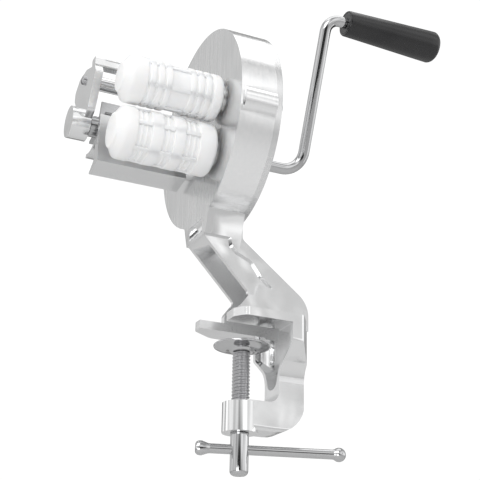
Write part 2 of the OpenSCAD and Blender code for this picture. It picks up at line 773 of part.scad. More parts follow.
module cutter_pins() {
    color([0.5, 0.5, 0.5]) at_crank() for (x = cutter_pin_x)
        translate([x, 0, -cutter_hub_r + seat_gap]) cylinder(r = key_r, h = 2 * (cutter_hub_r - seat_gap));
}

grip_round = 5;
grip_near_round = 1.2;
grip_recess_r = 5;
washer_play = 0.5;
washer_t = 1.2;
grip_head_r = 3.2;
grip_head_t = 3;
module grip() {
    profile = outline([[0, 0, 0], [grip_r_near, 0, grip_near_round], [grip_r_far, grip_len, grip_round],
                       [0, grip_len, 0]]);
    color([0.06, 0.06, 0.065]) at_crank() translate([grip_x0, 0, crank_throw]) rotate([90, 0, 90])
        difference() {
            rotate_extrude() polygon(profile);
            translate([0, 0, -over]) cylinder(r = grip_pin_r + run_gap, h = grip_len);
            translate([0, 0, grip_len - grip_recess]) cylinder(r = grip_recess_r, h = grip_recess + over);
        }
}
module grip_screw() {
    color([0.7, 0.71, 0.72]) at_crank() translate([grip_x0 + pin_len, 0, crank_throw]) rotate([0, 90, 0])
        difference() {
            union() {
                translate([0, 0, fit_gap]) cylinder(r = grip_recess_r - washer_play, h = washer_t);
                translate([0, 0, fit_gap]) cylinder(r = grip_head_r, h = grip_head_t);
                translate([0, 0, -grip_screw_in])
                    cylinder(r = grip_screw_r - fit_gap, h = grip_screw_in + over);
            }
            translate([-grip_recess_r, -slot_w / 2, seat_gap + grip_head_t - slot_depth])
                cube([2 * grip_recess_r, slot_w, slot_depth + over]);
        }
}

// Idler: a compound wheel on a fixed stud
stud_r = 4;
stud_head_r = 6.5;
stud_tip = 0.4;
centre_r = 1;
centre_depth = 1.5;
clip_w = 2.4;
clip_mouth = 4.4;
module idler_stud() {
    color([0.6, 0.6, 0.6]) at_drum() translate([0, idler_axis[0], idler_axis[1]]) difference() {
        union() {
            x_rod(stud_r - fit_gap, 0, wheel_a_x + gear_w + stud_tip);
            x_rod(stud_head_r, inner_t, inner_t + side_gap / 2);
        }
        x_rod(centre_r, wheel_a_x + gear_w - centre_depth, wheel_a_x + gear_w + over);
    }
}
module idler_gear() {
    color([0.6, 0.6, 0.58]) at_drum() translate([0, idler_axis[0], idler_axis[1]]) difference() {
        union() {
            wheel(idler_teeth, wheel_a_x, idler_dir + 180 + 180 / idler_teeth, stud_r);
            wheel(idler_small_teeth, wheel_b_x, upper_dir, stud_r);
            x_rod(small_pitch_r - 2 * gear_m, wheel_b_x, wheel_a_x + over);
        }
        x_rod(stud_r + run_gap, wheel_b_x - over, wheel_a_x + gear_w + over);
    }
}
module idler_clip() {
    color([0.4, 0.4, 0.4]) at_drum() translate([0, idler_axis[0], idler_axis[1]])
        rotate([0, 90, 0]) translate([0, 0, wheel_a_x + gear_w + side_gap / 4]) {
            difference() {
                cylinder(r = stud_r + clip_w, h = side_gap / 2);
                translate([0, 0, -over]) cylinder(r = stud_r, h = 3 * over);
                translate([0, -clip_mouth / 2, -over]) cube([2 * stud_r + over, clip_mouth, 3 * over]);
            }
        }
}

// Rollers: moulded sleeves on steel shafts
roller_x1 = -roller_gap;
roller_x0 = roller_x1 - roller_len;
end_chamfer = 5;
end_blend = 3;
lower_rib_turn = 25;
upper_rib_turn = 60;
rib_share = 0.8;
// Places of the bands along a roller, as shares of its length from the left
lower_band_shares = [[0.19, 0.335], [0.445, 0.56], [0.665, 0.82]];
upper_groove_shares = [0.235, 0.315, 0.395, 0.72, 0.8, 0.88];
upper_pocket_shares = [0.46, 0.66];
shaft_in = 6;

module roller_blank(r) {
    translate([roller_x0, 0, 0]) rotate([90, 0, 90]) rotate_extrude()
        polygon(outline([[0, 0, 0], [r - end_chamfer, 0, 0], [r, end_chamfer, end_blend],
                         [r, roller_len - end_chamfer, end_blend],
                         [r - end_chamfer, roller_len, 0], [0, roller_len, 0]]));
}
module ring_cut(r, depth, x0, x1) {
    difference() {
        x_rod(r + over, x0, x1);
        x_rod(r - depth, x0 - over, x1 + over);
    }
}
module roller_ribs(r, depth, x0, x1, turn) {
    for (i = [0:rib_count - 1]) rotate([360 * i / rib_count + turn, 0, 0])
        translate([x0, -rib_w / 2, r - depth - over]) cube([x1 - x0, rib_w, rib_share * depth + over]);
}
function along(share) = roller_x0 + share * roller_len;

module lower_roller() {
    color([0.95, 0.95, 0.95]) at_drum() translate([0, lower_axis[0], lower_axis[1]]) difference() {
        union() {
            difference() {
                roller_blank(lower_r);
                for (b = lower_band_shares) ring_cut(lower_r, band_depth, along(b[0]), along(b[1]));
            }
            roller_ribs(lower_r, band_depth, along(lower_band_shares[0][0]), along(lower_band_shares[2][1]),
                        lower_rib_turn);
        }
        x_rod(shaft_r + fit_gap, along(0) + shaft_in, roller_x1 + over);
    }
}
module upper_roller() {
    color([0.95, 0.95, 0.95]) at_drum() translate([0, upper_axis[0], upper_axis[1]]) difference() {
        union() {
            difference() {
                roller_blank(upper_r);
                for (s = upper_groove_shares)
                    ring_cut(upper_r, groove_depth, along(s) - groove_w / 2, along(s) + groove_w / 2);
                ring_cut(upper_r, groove_depth, along(upper_pocket_shares[0]), along(upper_pocket_shares[1]));
            }
            roller_ribs(upper_r, groove_depth, along(upper_groove_shares[0]), along(upper_groove_shares[5]),
                        upper_rib_turn);
        }
        x_rod(shaft_r + fit_gap, along(0) + shaft_in, roller_x1 + over);
    }
}
module roller_shaft(at) {
    color([0.6, 0.61, 0.62]) at_drum() translate([0, at[0], at[1]]) {
        x_rod(shaft_r, along(0) + shaft_in + seat_gap, wheel_b_x + gear_w);
        x_rod(pocket_r, wheel_b_x + gear_w - over, cover_x + pocket_depth - seat_gap);
    }
}
module lower_shaft() {
    roller_shaft(lower_axis);
}
module upper_shaft() {
    roller_shaft(upper_axis);
}
module lower_gear() {
    color([0.6, 0.6, 0.58]) at_drum() translate([0, lower_axis[0], lower_axis[1]])
        wheel(roller_teeth, wheel_b_x, 2 * nip_angle + 180 - upper_phase + 180 / roller_teeth,
              shaft_r + fit_gap);
}
module upper_gear() {
    color([0.6, 0.6, 0.58]) at_drum() translate([0, upper_axis[0], upper_axis[1]])
        wheel(roller_teeth, wheel_b_x, upper_phase, shaft_r + fit_gap);
}

// Clamp screw, measured from the underside of the foot
disc_top = -disc_gap;
disc_low = disc_top - disc_rim;
hub_drop = 2.2;
hub_low = disc_low - hub_drop;
hub_r = 7.2;
neck_r = 3.4;
disc_skin = 1;
boss_low = -throat_h - lower_arm_h;
bar_drop = 9.1;
bar_z = boss_low - bar_drop;
tip_round = 3;
// Thread profile along one pitch, as shares of the pitch: foot, crest, crest, foot
thread_shares = [0.1, 0.45, 0.6, 0.95];
thread_top_r = screw_r - run_gap;
thread_root_r = screw_r - thread_depth;

module clamp_screw() {
    top = hub_low - seat_gap;
    turns = floor((top - boss_low - pitch) / pitch);
    color([0.6, 0.61, 0.62]) difference() {
        union() {
            translate([0, 0, boss_low - seat_gap - shank_len]) rotate_extrude()
                polygon(outline([[0, 0, 0], [screw_r, 0, tip_round], [screw_r, shank_len, 0],
                                 [0, shank_len, 0]]));
            rotate_extrude() polygon(concat(
                [[0, boss_low - seat_gap], [thread_root_r, boss_low - seat_gap]],
                [for (i = [0:turns - 1], j = [0:3])
                    [j == 1 || j == 2 ? thread_top_r : thread_root_r,
                     boss_low + (i + thread_shares[j]) * pitch]],
                [[thread_root_r, top], [0, top]]));
            translate([0, 0, top - over])
                cylinder(r = neck_r, h = disc_top - disc_skin - seat_gap - top + over);
        }
        translate([0, 0, bar_z]) rotate([0, 90, bar_turn])
            cylinder(r = bar_r + run_gap, h = 4 * screw_r, center = true);
    }
}
disc_round = 1;
rim_round = 0.5;
rim_w = 2;
dish_drop = 0.4;
module pressure_disc() {
    profile = outline([[0, disc_top, 0], [disc_r, disc_top, disc_round], [disc_r, disc_low, rim_round],
                       [disc_r - rim_w, disc_low, rim_round], [hub_r + rim_w, disc_low - dish_drop, disc_round],
                       [hub_r, hub_low, rim_round], [0, hub_low, 0]]);
    color([0.7, 0.71, 0.72]) difference() {
        rotate_extrude() polygon(profile);
        translate([0, 0, hub_low - over])
            cylinder(r = neck_r + run_gap, h = disc_top - disc_skin - hub_low + over);
    }
}
// Cross bar: a ball at one end, a flattened bulb at the other
cap_len = 8;
cap_w = 8.4;
cap_t = 6.1;
cap_taper = 1.4;
cap_end_round = 1;
cap_side_round = 2;
cap_neck_round = 0.5;
module cap_outline() {
    end = cap_len / 2;
    side = cap_w / 2;
    polygon(outline([[-end, -side + cap_taper, cap_end_round], [0, -side, cap_side_round],
                     [end, -bar_r, cap_neck_round], [end, bar_r, cap_neck_round],
                     [0, side, cap_side_round], [-end, side - cap_taper, cap_end_round]]));
}
module cross_bar() {
    color([0.7, 0.71, 0.72]) translate([0, 0, bar_z]) rotate([0, 0, bar_turn]) {
        x_rod(bar_r, -bar_short, bar_long);
        translate([bar_long, 0, 0]) sphere(r = ball_r);
        translate([-bar_short - cap_len / 2, 0, 0]) rotate([90, 0, 0])
            linear_extrude(cap_t, center = true) cap_outline();
    }
}

body_casting();
gear_cover();
cover_screws();
front_bushes();
cover_bush();
end_bracket();
bracket_screws();
form_trough();
trough_screws();
crank_rod();
drive_pinion();
pinion_pin();
cutter_rotor();
cutter_pins();
grip();
grip_screw();
idler_stud();
idler_gear();
idler_clip();
lower_roller();
lower_shaft();
lower_gear();
upper_roller();
upper_shaft();
upper_gear();
clamp_screw();
pressure_disc();
cross_bar();
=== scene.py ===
"""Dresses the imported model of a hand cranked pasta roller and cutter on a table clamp.

Lengths in the classes are millimetres in the part's own frame; they become metres where a
mesh is made. Angles are degrees.
"""

import logging
import math
from dataclasses import dataclass
from enum import Enum, IntEnum
from functools import cache
from typing import Callable, Iterable, Sequence

import bmesh
import bpy
from mathutils import Matrix, Vector


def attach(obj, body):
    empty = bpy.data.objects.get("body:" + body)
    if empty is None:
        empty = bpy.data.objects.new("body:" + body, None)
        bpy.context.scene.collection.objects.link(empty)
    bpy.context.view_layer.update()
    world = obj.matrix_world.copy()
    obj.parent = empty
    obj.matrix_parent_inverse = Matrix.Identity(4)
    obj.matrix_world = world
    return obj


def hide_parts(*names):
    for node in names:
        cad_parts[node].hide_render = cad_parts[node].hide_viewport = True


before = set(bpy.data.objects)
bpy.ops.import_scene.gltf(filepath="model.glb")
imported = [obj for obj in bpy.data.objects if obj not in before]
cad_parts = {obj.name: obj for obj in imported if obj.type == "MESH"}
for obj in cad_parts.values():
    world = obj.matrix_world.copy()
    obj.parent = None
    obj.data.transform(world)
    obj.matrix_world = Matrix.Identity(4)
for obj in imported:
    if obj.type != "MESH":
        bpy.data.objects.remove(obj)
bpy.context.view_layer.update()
MM = 0.001
DRUM = Vector((-31.2, 0.0, 122.6))
QUARTER_TURN = math.radians(90)
LOG = logging.getLogger("pasta_roller")
Point = tuple[float, float]
Triple = tuple[float, float, float]
Stop = tuple[float, Triple]
Socket = bpy.types.NodeSocket
Shape = bmesh.types.BMesh
Edges = list[bmesh.types.BMEdge]


def grey(tone: float) -> Triple:
    """Gives a neutral colour of that tone."""
    return (tone, tone, tone)


def arc(x: float, r: float, radius: float, angles: Iterable[float]) -> list[Point]:
    """Lays points round a centre.

    Args:
        x: place of the centre along X.
        r: distance of the centre from the axis.
        radius: radius of the arc.
        angles: angle of each point, from X outwards.

    Returns:
        Points [along X, radius].
    """
    turns = [math.radians(angle) for angle in angles]
    return [(x + radius * math.cos(a), r + radius * math.sin(a)) for a in turns]


class Lay(Enum):
    """Which way the tool marks of a surface run, as the share of their fineness by axis."""

    EVEN = (1.0, 1.0, 1.0)
    VERTICAL = (1.0, 1.0, 0.03)


class Body(Enum):
    """The bodies that new pieces ride on."""

    MACHINE = "machine_body"
    CRANK = "crank_set"
    GRIP = "hand_grip"
    LOWER = "lower_roller_set"
    UPPER = "upper_roller_set"
    PAD = "pad"
    SCREW = "screw"
    BAR = "bar"


@dataclass(frozen=True)
class Grain:
    """How a noise pattern is made up: its octaves, their strength and how far it is pulled."""

    detail: float
    roughness: float
    distortion: float = 0.0


MARKS = Grain(3.0, 0.6)
PATCHES = Grain(2.0, 0.5, 0.6)
RIPPLES = Grain(1.5, 0.4, 0.3)
CLOUDS = Grain(2.0, 0.5, 0.4)
SKIN = Grain(2.0, 0.5)
HAZE = Grain(1.5, 0.5)


class NodeBench:
    """A small bench for a node tree: patterns, ranges and ramps."""

    def __init__(self, tree: bpy.types.NodeTree, place: str) -> None:
        """Empties the tree.

        Args:
            tree: the node tree.
            place: the coordinates that its patterns follow.
        """
        self.nodes, self.links = tree.nodes, tree.links
        self.nodes.clear()
        self.place = self.nodes.new("ShaderNodeTexCoord").outputs[place]

    def noise(self, scale: Triple, grain: Grain) -> Socket:
        """Adds a noise pattern.

        Args:
            scale: fineness along X, Y and Z, in waves a unit.
            grain: how the noise is made up.

        Returns:
            The pattern's value, 0 to 1.
        """
        mapping = self.nodes.new("ShaderNodeMapping")
        mapping.inputs["Scale"].default_value = scale
        self.links.new(self.place, mapping.inputs["Vector"])
        noise = self.nodes.new("ShaderNodeTexNoise")
        for key, number in (("Scale", 1.0), ("Detail", grain.detail),
                            ("Roughness", grain.roughness), ("Distortion", grain.distortion)):
            noise.inputs[key].default_value = number
        self.links.new(mapping.outputs["Vector"], noise.inputs["Vector"])
        return noise.outputs["Fac"]

    def spread(self, value: Socket, span: Point, results: Point) -> Socket:
        """Maps a value from one range to another.

        Args:
            value: the value.
            span: the ends of its range.
            results: the numbers at those ends.

        Returns:
            The mapped value.
        """
        node = self.nodes.new("ShaderNodeMapRange")
        for key, number in zip(("From Min", "From Max", "To Min", "To Max"), (*span, *results)):
            node.inputs[key].default_value = number
        self.links.new(value, node.inputs["Value"])
        return node.outputs["Result"]

    def ramp(self, value: Socket, stops: Sequence[Stop]) -> Socket:
        """Maps a value from 0 to 1 to colours.

        Args:
            value: the value.
            stops: two or more, each [value, colour], in order.

        Returns:
            The colour.
        """
        node = self.nodes.new("ShaderNodeValToRGB")
        elements = node.color_ramp.elements
        elements[0].position, elements[1].position = stops[0][0], stops[-1][0]
        for place, _ in stops[1:-1]:
            elements.new(place)
        for element, (_, colour) in zip(elements, stops):
            element.color = (*colour, 1.0)
        self.links.new(value, node.inputs["Fac"])
        return node.outputs["Color"]


class Tree(NodeBench):
    """The node tree of one material. Its patterns mostly lie within the span."""

    span: Point = (0.3, 0.7)

    def __init__(self, name: str) -> None:
        """Starts a new material.

        Args:
            name: its name.
        """
        self.material = bpy.data.materials.new(name)
        self.material.use_nodes = True
        super().__init__(self.material.node_tree, "Object")
        self.surface = self.nodes.new("ShaderNodeBsdfPrincipled")
        out = self.nodes.new("ShaderNodeOutputMaterial")
        self.links.new(self.surface.outputs["BSDF"], out.inputs["Surface"])

    def average(self, one: Socket, other: Socket) -> Socket:
        """Gives the mean of two patterns.

        Args:
            one: the first pattern.
            other: the second pattern.

        Returns:
            The mean.
        """
        half = self.nodes.new("ShaderNodeMath")
        half.operation = "MULTIPLY"
        half.inputs[1].default_value = 0.5
        self.links.new(other, half.inputs[0])
        both = self.nodes.new("ShaderNodeMath")
        both.operation = "MULTIPLY_ADD"
        both.inputs[1].default_value = 0.5
        self.links.new(one, both.inputs[0])
        self.links.new(half.outputs[0], both.inputs[2])
        return both.outputs[0]

    def blend(self, value: Socket, low: Triple, high: Triple) -> Socket:
        """Maps a pattern to the colours between two."""
        return self.ramp(value, tuple(zip(self.span, (low, high))))

    def bump(self, height: Socket, depth: float) -> None:
        """Adds relief below what is already there.

        Args:
            height: the pattern that gives the height.
            depth: height of the pattern in metres.
        """
        node = self.nodes.new("ShaderNodeBump")
        node.inputs["Distance"].default_value = depth
        node.inputs["Strength"].default_value = 1.0
        self.links.new(height, node.inputs["Height"])
        normal = self.surface.inputs["Normal"]
        if normal.is_linked:
            self.links.new(normal.links[0].from_socket, node.inputs["Normal"])
        self.links.new(node.outputs["Normal"], normal)

    def feed(self, key: str, socket: Socket) -> None:
        """Joins a socket to the shader's input of that name."""
        self.links.new(socket, self.surface.inputs[key])

    def fix(self, **values: float) -> None:
        """Sets the shader's own sockets, with underscores for spaces in their names."""
        for key, value in values.items():
            self.surface.inputs[key.replace("_", " ")].default_value = value


@dataclass(frozen=True)
class MetalFinish:
    """Bare metal with tool marks and a slightly uneven surface. Depths are metres."""

    name: str
    low_tone: Triple
    high_tone: Triple
    rough: Point
    fineness: float
    mark_depth: float
    lay: Lay = Lay.EVEN
    ripple: float = 60.0
    ripple_depth: float = 0.0
    metal: float = 1.0
    slot: str = "cast_aluminium"
    patch: float = 28.0
    rough_span: Point = (0.35, 0.65)

    def material(self) -> bpy.types.Material:
        """Builds the material.

        Returns:
            The new material.
        """
        tree = Tree(self.name)
        marks = tree.noise(tuple(self.fineness * share for share in self.lay.value), MARKS)
        patches = tree.noise((self.patch,) * 3, PATCHES)
        tree.feed("Base Color", tree.blend(marks, self.low_tone, self.high_tone))
        mottle = tree.average(patches, marks)
        tree.feed("Roughness", tree.spread(mottle, self.rough_span, self.rough))
        tree.bump(marks, self.mark_depth)
        if self.ripple_depth:
            tree.bump(tree.noise((self.ripple,) * 3, RIPPLES), self.ripple_depth)
        tree.fix(Metallic=self.metal)
        return tree.material


@dataclass(frozen=True)
class PlasticFinish:
    """Moulded plastic with a fine skin. Depths are metres."""

    name: str
    slot: str
    low_tone: Triple
    high_tone: Triple
    rough: Point
    skin: float
    skin_depth: float
    milk: float = 0.0
    milk_reach: float = 0.004
    milk_radius: Triple = (1.0, 0.9, 0.8)
    coat: float = 0.0
    coat_rough: float = 0.08
    index: float = 1.49
    cloud: float = 45.0

    def material(self) -> bpy.types.Material:
        """Builds the material.

        Returns:
            The new material.
        """
        tree = Tree(self.name)
        cloud = tree.noise((self.cloud,) * 3, CLOUDS)
        skin = tree.noise((self.skin,) * 3, SKIN)
        tree.feed("Base Color", tree.blend(cloud, self.low_tone, self.high_tone))
        tree.feed("Roughness", tree.spread(skin, tree.span, self.rough))
        tree.bump(skin, self.skin_depth)
        tree.fix(Metallic=0.0, Subsurface_Weight=self.milk, Subsurface_Scale=self.milk_reach,
                 Coat_Weight=self.coat, Coat_Roughness=self.coat_rough, IOR=self.index)
        if self.milk:
            tree.surface.inputs["Subsurface Radius"].default_value = self.milk_radius
        return tree.material


class Finish(Enum):
    """Every finish on the machine."""

    CASTING = MetalFinish(
        "polished_casting", (0.78, 0.785, 0.79), grey(0.84), rough=(0.1, 0.17),
        fineness=3200.0, mark_depth=2e-6, ripple=42.0, ripple_depth=0.0011)
    FACE = MetalFinish(
        "machined_face", (0.72, 0.725, 0.73), grey(0.8), rough=(0.2, 0.3),
        fineness=700.0, mark_depth=3.5e-6, lay=Lay.VERTICAL, ripple=40.0, ripple_depth=1e-4)
    BOSS = MetalFinish(
        "turned_boss", (0.8, 0.805, 0.81), grey(0.86), rough=(0.05, 0.09),
        fineness=3200.0, mark_depth=1e-6, ripple_depth=4e-5)
    # Painted shade: a partly diffuse copy of the casting finish. It goes on the faces between the
    # arm's walls and in the pocket, so the shade there renders an even mid grey.
    INSIDE = MetalFinish(
        "inside_painted_shade", (0.74, 0.745, 0.75), grey(0.86), rough=(0.26, 0.38),
        fineness=2600.0, mark_depth=3e-6, ripple_depth=6e-4, metal=0.62)
    RIM = MetalFinish(
        "brushed_rim", (0.86, 0.865, 0.87), grey(0.93), rough=(0.18, 0.26),
        fineness=800.0, mark_depth=6e-6, lay=Lay.VERTICAL, ripple=45.0, ripple_depth=4e-4)
    COVER = MetalFinish(
        "satin_cover", (0.72, 0.725, 0.73), grey(0.8), rough=(0.2, 0.3),
        fineness=800.0, mark_depth=6e-6, lay=Lay.VERTICAL, ripple=40.0, ripple_depth=1e-4)
    TROUGH = MetalFinish(
        "cast_trough", (0.7, 0.705, 0.71), grey(0.75), rough=(0.22, 0.3),
        fineness=3600.0, mark_depth=2e-6, ripple_depth=2e-4)
    CUTTER = MetalFinish(
        "milled_cutter", (0.4, 0.405, 0.41), (0.48, 0.48, 0.485),
        rough=(0.16, 0.24), fineness=3600.0, mark_depth=2e-6, ripple_depth=2e-4)
    PLATING = MetalFinish(
        "bright_plating", (0.53, 0.535, 0.54), (0.57, 0.57, 0.575),
        rough=(0.05, 0.1), fineness=4000.0, mark_depth=8e-7, ripple_depth=3e-5,
        slot="plated_steel")
    SCREW = MetalFinish(
        "turned_steel", (0.44, 0.44, 0.45), (0.52, 0.52, 0.53), rough=(0.2, 0.3),
        fineness=3600.0, mark_depth=2e-6, slot="screw_steel")
    GEAR = MetalFinish(
        "greased_gear", grey(0.34), (0.44, 0.435, 0.42), rough=(0.2, 0.42),
        fineness=1800.0, mark_depth=4e-6, slot="gear_steel")
    BUSH = MetalFinish(
        "sintered_bush", grey(0.52), grey(0.6), rough=(0.26, 0.4),
        fineness=4000.0, mark_depth=3e-6, slot="bush_steel")
    ROLLER = PlasticFinish(
        "milky_plastic", "roller_plastic", grey(0.97), grey(0.995), rough=(0.3, 0.42),
        skin=1400.0, skin_depth=3e-6, milk=0.35)
    HANDLE = PlasticFinish(
        "black_plastic", "grip_plastic", (0.008, 0.008, 0.009), (0.016, 0.016, 0.017),
        rough=(0.22, 0.34), skin=1100.0, skin_depth=6e-6, coat=0.12)


@cache
def paint(finish: Finish) -> bpy.types.Material:
    """Gives a finish's material, made at the first call."""
    return finish.value.material()


class Workbench:
    """Bmesh steps that the pieces share. Lengths are millimetres until the mesh is made."""

    merge: float = 0.001
    node_merge: float = 0.002
    flat_angle: float = 0.6
    flat_weight: int = 80
    profile_share: float = 0.5

    @staticmethod
    def dress(obj: bpy.types.Object, *finishes: Finish) -> None:
        """Puts finishes in an object's material slots and keeps which face has which slot.

        Args:
            obj: the piece.
            finishes: one finish a slot, in order.
        """
        slots = obj.data.materials
        for place, finish in enumerate(finishes):
            if place < len(slots):
                slots[place] = paint(finish)
            else:
                slots.append(paint(finish))

    @staticmethod
    def spin(bm: Shape, profile: Sequence[Point], steps: int, closed: bool) -> None:
        """Turns an outline about X.

        Args:
            bm: the shape that takes the turned faces.
            profile: points [along X, radius].
            steps: faces round the axis.
            closed: whether the last point joins the first.
        """
        verts = [bm.verts.new((x, 0.0, r)) for x, r in profile]
        nexts = verts[1:] + verts[:1] if closed else verts[1:]
        edges = [bm.edges.new(pair) for pair in zip(verts, nexts)]
        bmesh.ops.spin(bm, geom=verts + edges, cent=(0, 0, 0), axis=(1, 0, 0), angle=math.tau,
                       steps=steps, use_merge=True)

    @staticmethod
    def turned(profile: Sequence[Point], steps: int) -> Shape:
        """Turns a solid about X.

        Args:
            profile: points [along X, radius], from one end of the axis to the other.
            steps: faces round the axis.

        Returns:
            The closed shape.
        """
        bm = bmesh.new()
        Workbench.spin(bm, profile, steps, closed=False)
        bmesh.ops.remove_doubles(bm, verts=bm.verts, dist=Workbench.merge)
        bmesh.ops.recalc_face_normals(bm, faces=bm.faces)
        return bm

    @staticmethod
    def round_edges(bm: Shape, width: float, segments: int = 2, angle: float = 40.0,
                    where: Callable[[Vector], bool] | None = None) -> None:
        """Rounds the sharp edges of a shape.

        Args:
            bm: the shape.
            width: width of the rounding.
            segments: faces across the rounding.
            angle: least angle between faces that counts as sharp.
            where: test that both ends of an edge have to pass.
        """
        limit = math.radians(angle)
        sharp = [e for e in bm.edges if len(e.link_faces) == 2 and e.calc_face_angle(0.0) > limit
                 and (where is None or all(where(v.co) for v in e.verts))]
        if sharp:
            bmesh.ops.bevel(bm, geom=sharp, offset=width, offset_type="OFFSET", segments=segments,
                            profile=Workbench.profile_share, affect="EDGES", clamp_overlap=True,
                            material=-1)

    @staticmethod
    def block(low: Triple, high: Triple, rounding: float) -> Shape:
        """Makes a block with rounded edges.

        Args:
            low: lowest corner.
            high: highest corner.
            rounding: width of the rounding.

        Returns:
            The block.
        """
        bm = bmesh.new()
        bmesh.ops.create_cube(bm, size=1.0)
        bmesh.ops.scale(bm, vec=[b - a for a, b in zip(low, high)], verts=bm.verts)
        bmesh.ops.translate(bm, vec=[(a + b) / 2 for a, b in zip(low, high)], verts=bm.verts)
        Workbench.round_edges(bm, rounding)
        return bm

    @staticmethod
    def pull(bm: Shape, ring: Edges, vec: Triple) -> tuple[Edges, list]:
        """Pulls a ring of edges straight along.

        Args:
            bm: the shape.
            ring: the open end's edges.
            vec: how far.

        Returns:
            The new open end's edges and its corners.
        """
        made = bmesh.ops.extrude_edge_only(bm, edges=ring)["geom"]
        verts = [g for g in made if isinstance(g, bmesh.types.BMVert)]
        bmesh.ops.translate(bm, vec=vec, verts=verts)
        return [g for g in made if isinstance(g, bmesh.types.BMEdge)], verts

    @staticmethod
    def add(bm: Shape, more: Shape,
            matrix: Matrix = Matrix.Identity(4)) -> None:
        """Adds one shape to another and frees it.

        Args:
            bm: the shape that grows.
            more: the shape that is added.
            matrix: where the added shape goes.
        """
        bmesh.ops.transform(more, matrix=matrix, verts=more.verts)
        mesh = bpy.data.meshes.new("part")
        more.to_mesh(mesh)
        more.free()
        bm.from_mesh(mesh)
        bpy.data.meshes.remove(mesh)

    @staticmethod
    def piece(name: str, bm: Shape, body: Body, finishes: Iterable[Finish],
              nodes: Sequence[str], matrix: Matrix = Matrix.Identity(4),
              angle: float = 32.0) -> bpy.types.Object:
        """Makes an object of a shape, dresses it and lets it ride.

        Args:
            name: name of the piece.
            bm: the shape, which is freed.
            body: the body that it rides on.
            finishes: one finish a material slot.
            nodes: CAD nodes that it stands for.
            matrix: where the shape goes, in millimetres.
            angle: least angle that is shaded sharp.

        Returns:
            The new object.
        """
        bmesh.ops.transform(bm, matrix=matrix, verts=bm.verts)
        bmesh.ops.scale(bm, vec=(MM,) * 3, verts=bm.verts)
        mesh = bpy.data.meshes.new(name)
        bm.to_mesh(mesh)
        bm.free()
        obj = bpy.data.objects.new(name, mesh)
        bpy.context.scene.collection.objects.link(obj)
        Workbench.dress(obj, *finishes)
        mesh.shade_smooth()
        mesh.set_sharp_from_angle(angle=math.radians(angle))
        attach(obj, body.value)
        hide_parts(*nodes)
        LOG.info("made %s on %s: %d faces", name, body.value, len(mesh.polygons))
        return obj

    @staticmethod
    def casting(node: str) -> Shape:
        """Takes a merged copy of a CAD node, in millimetres, with its flat faces whole.

        Args:
            node: name of the CAD node.

        Returns:
            The copy.
        """
        bm = bmesh.new()
        bm.from_mesh(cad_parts[node].data)
        bmesh.ops.scale(bm, vec=(1 / MM,) * 3, verts=bm.verts)
        bmesh.ops.remove_doubles(bm, verts=bm.verts, dist=Workbench.node_merge)
        bmesh.ops.dissolve_limit(bm, angle_limit=math.radians(Workbench.flat_angle),
                                 verts=bm.verts, edges=bm.edges)
        return bm

    @staticmethod
    def cast_piece(name: str, bm: Shape, finishes: Iterable[Finish],
                   node: str) -> None:
        """Makes a piece of the machine's frame whose flat faces stay flat beside rounded edges.

        Args:
            name: name of the piece.
            bm: the shape, which is freed.
            finishes: one finish a material slot.
            node: CAD node that it stands for.
        """
        obj = Workbench.piece(name, bm, Body.MACHINE, finishes, [node])
        modifier = obj.modifiers.new("flat_faces", "WEIGHTED_NORMAL")
        modifier.keep_sharp = True
        modifier.weight = Workbench.flat_weight

    @staticmethod
    def keep(finish: Finish, *nodes: str) -> None:
        """Gives CAD nodes that stay their finish.

        Args:
            finish: the finish.
            nodes: names of the CAD nodes.
        """
        for node in nodes:
            Workbench.dress(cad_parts[node], finish)
            LOG.info("kept %s with %s", node, finish.value.name)


class CastSlot(IntEnum):
    """The material slots of the casting, named as their finishes."""

    CASTING = 0
    FACE = 1
    RIM = 2
    BOSS = 3
    # Slot of the painted-shade copy of the casting finish, on the inside faces.
    INSIDE = 4


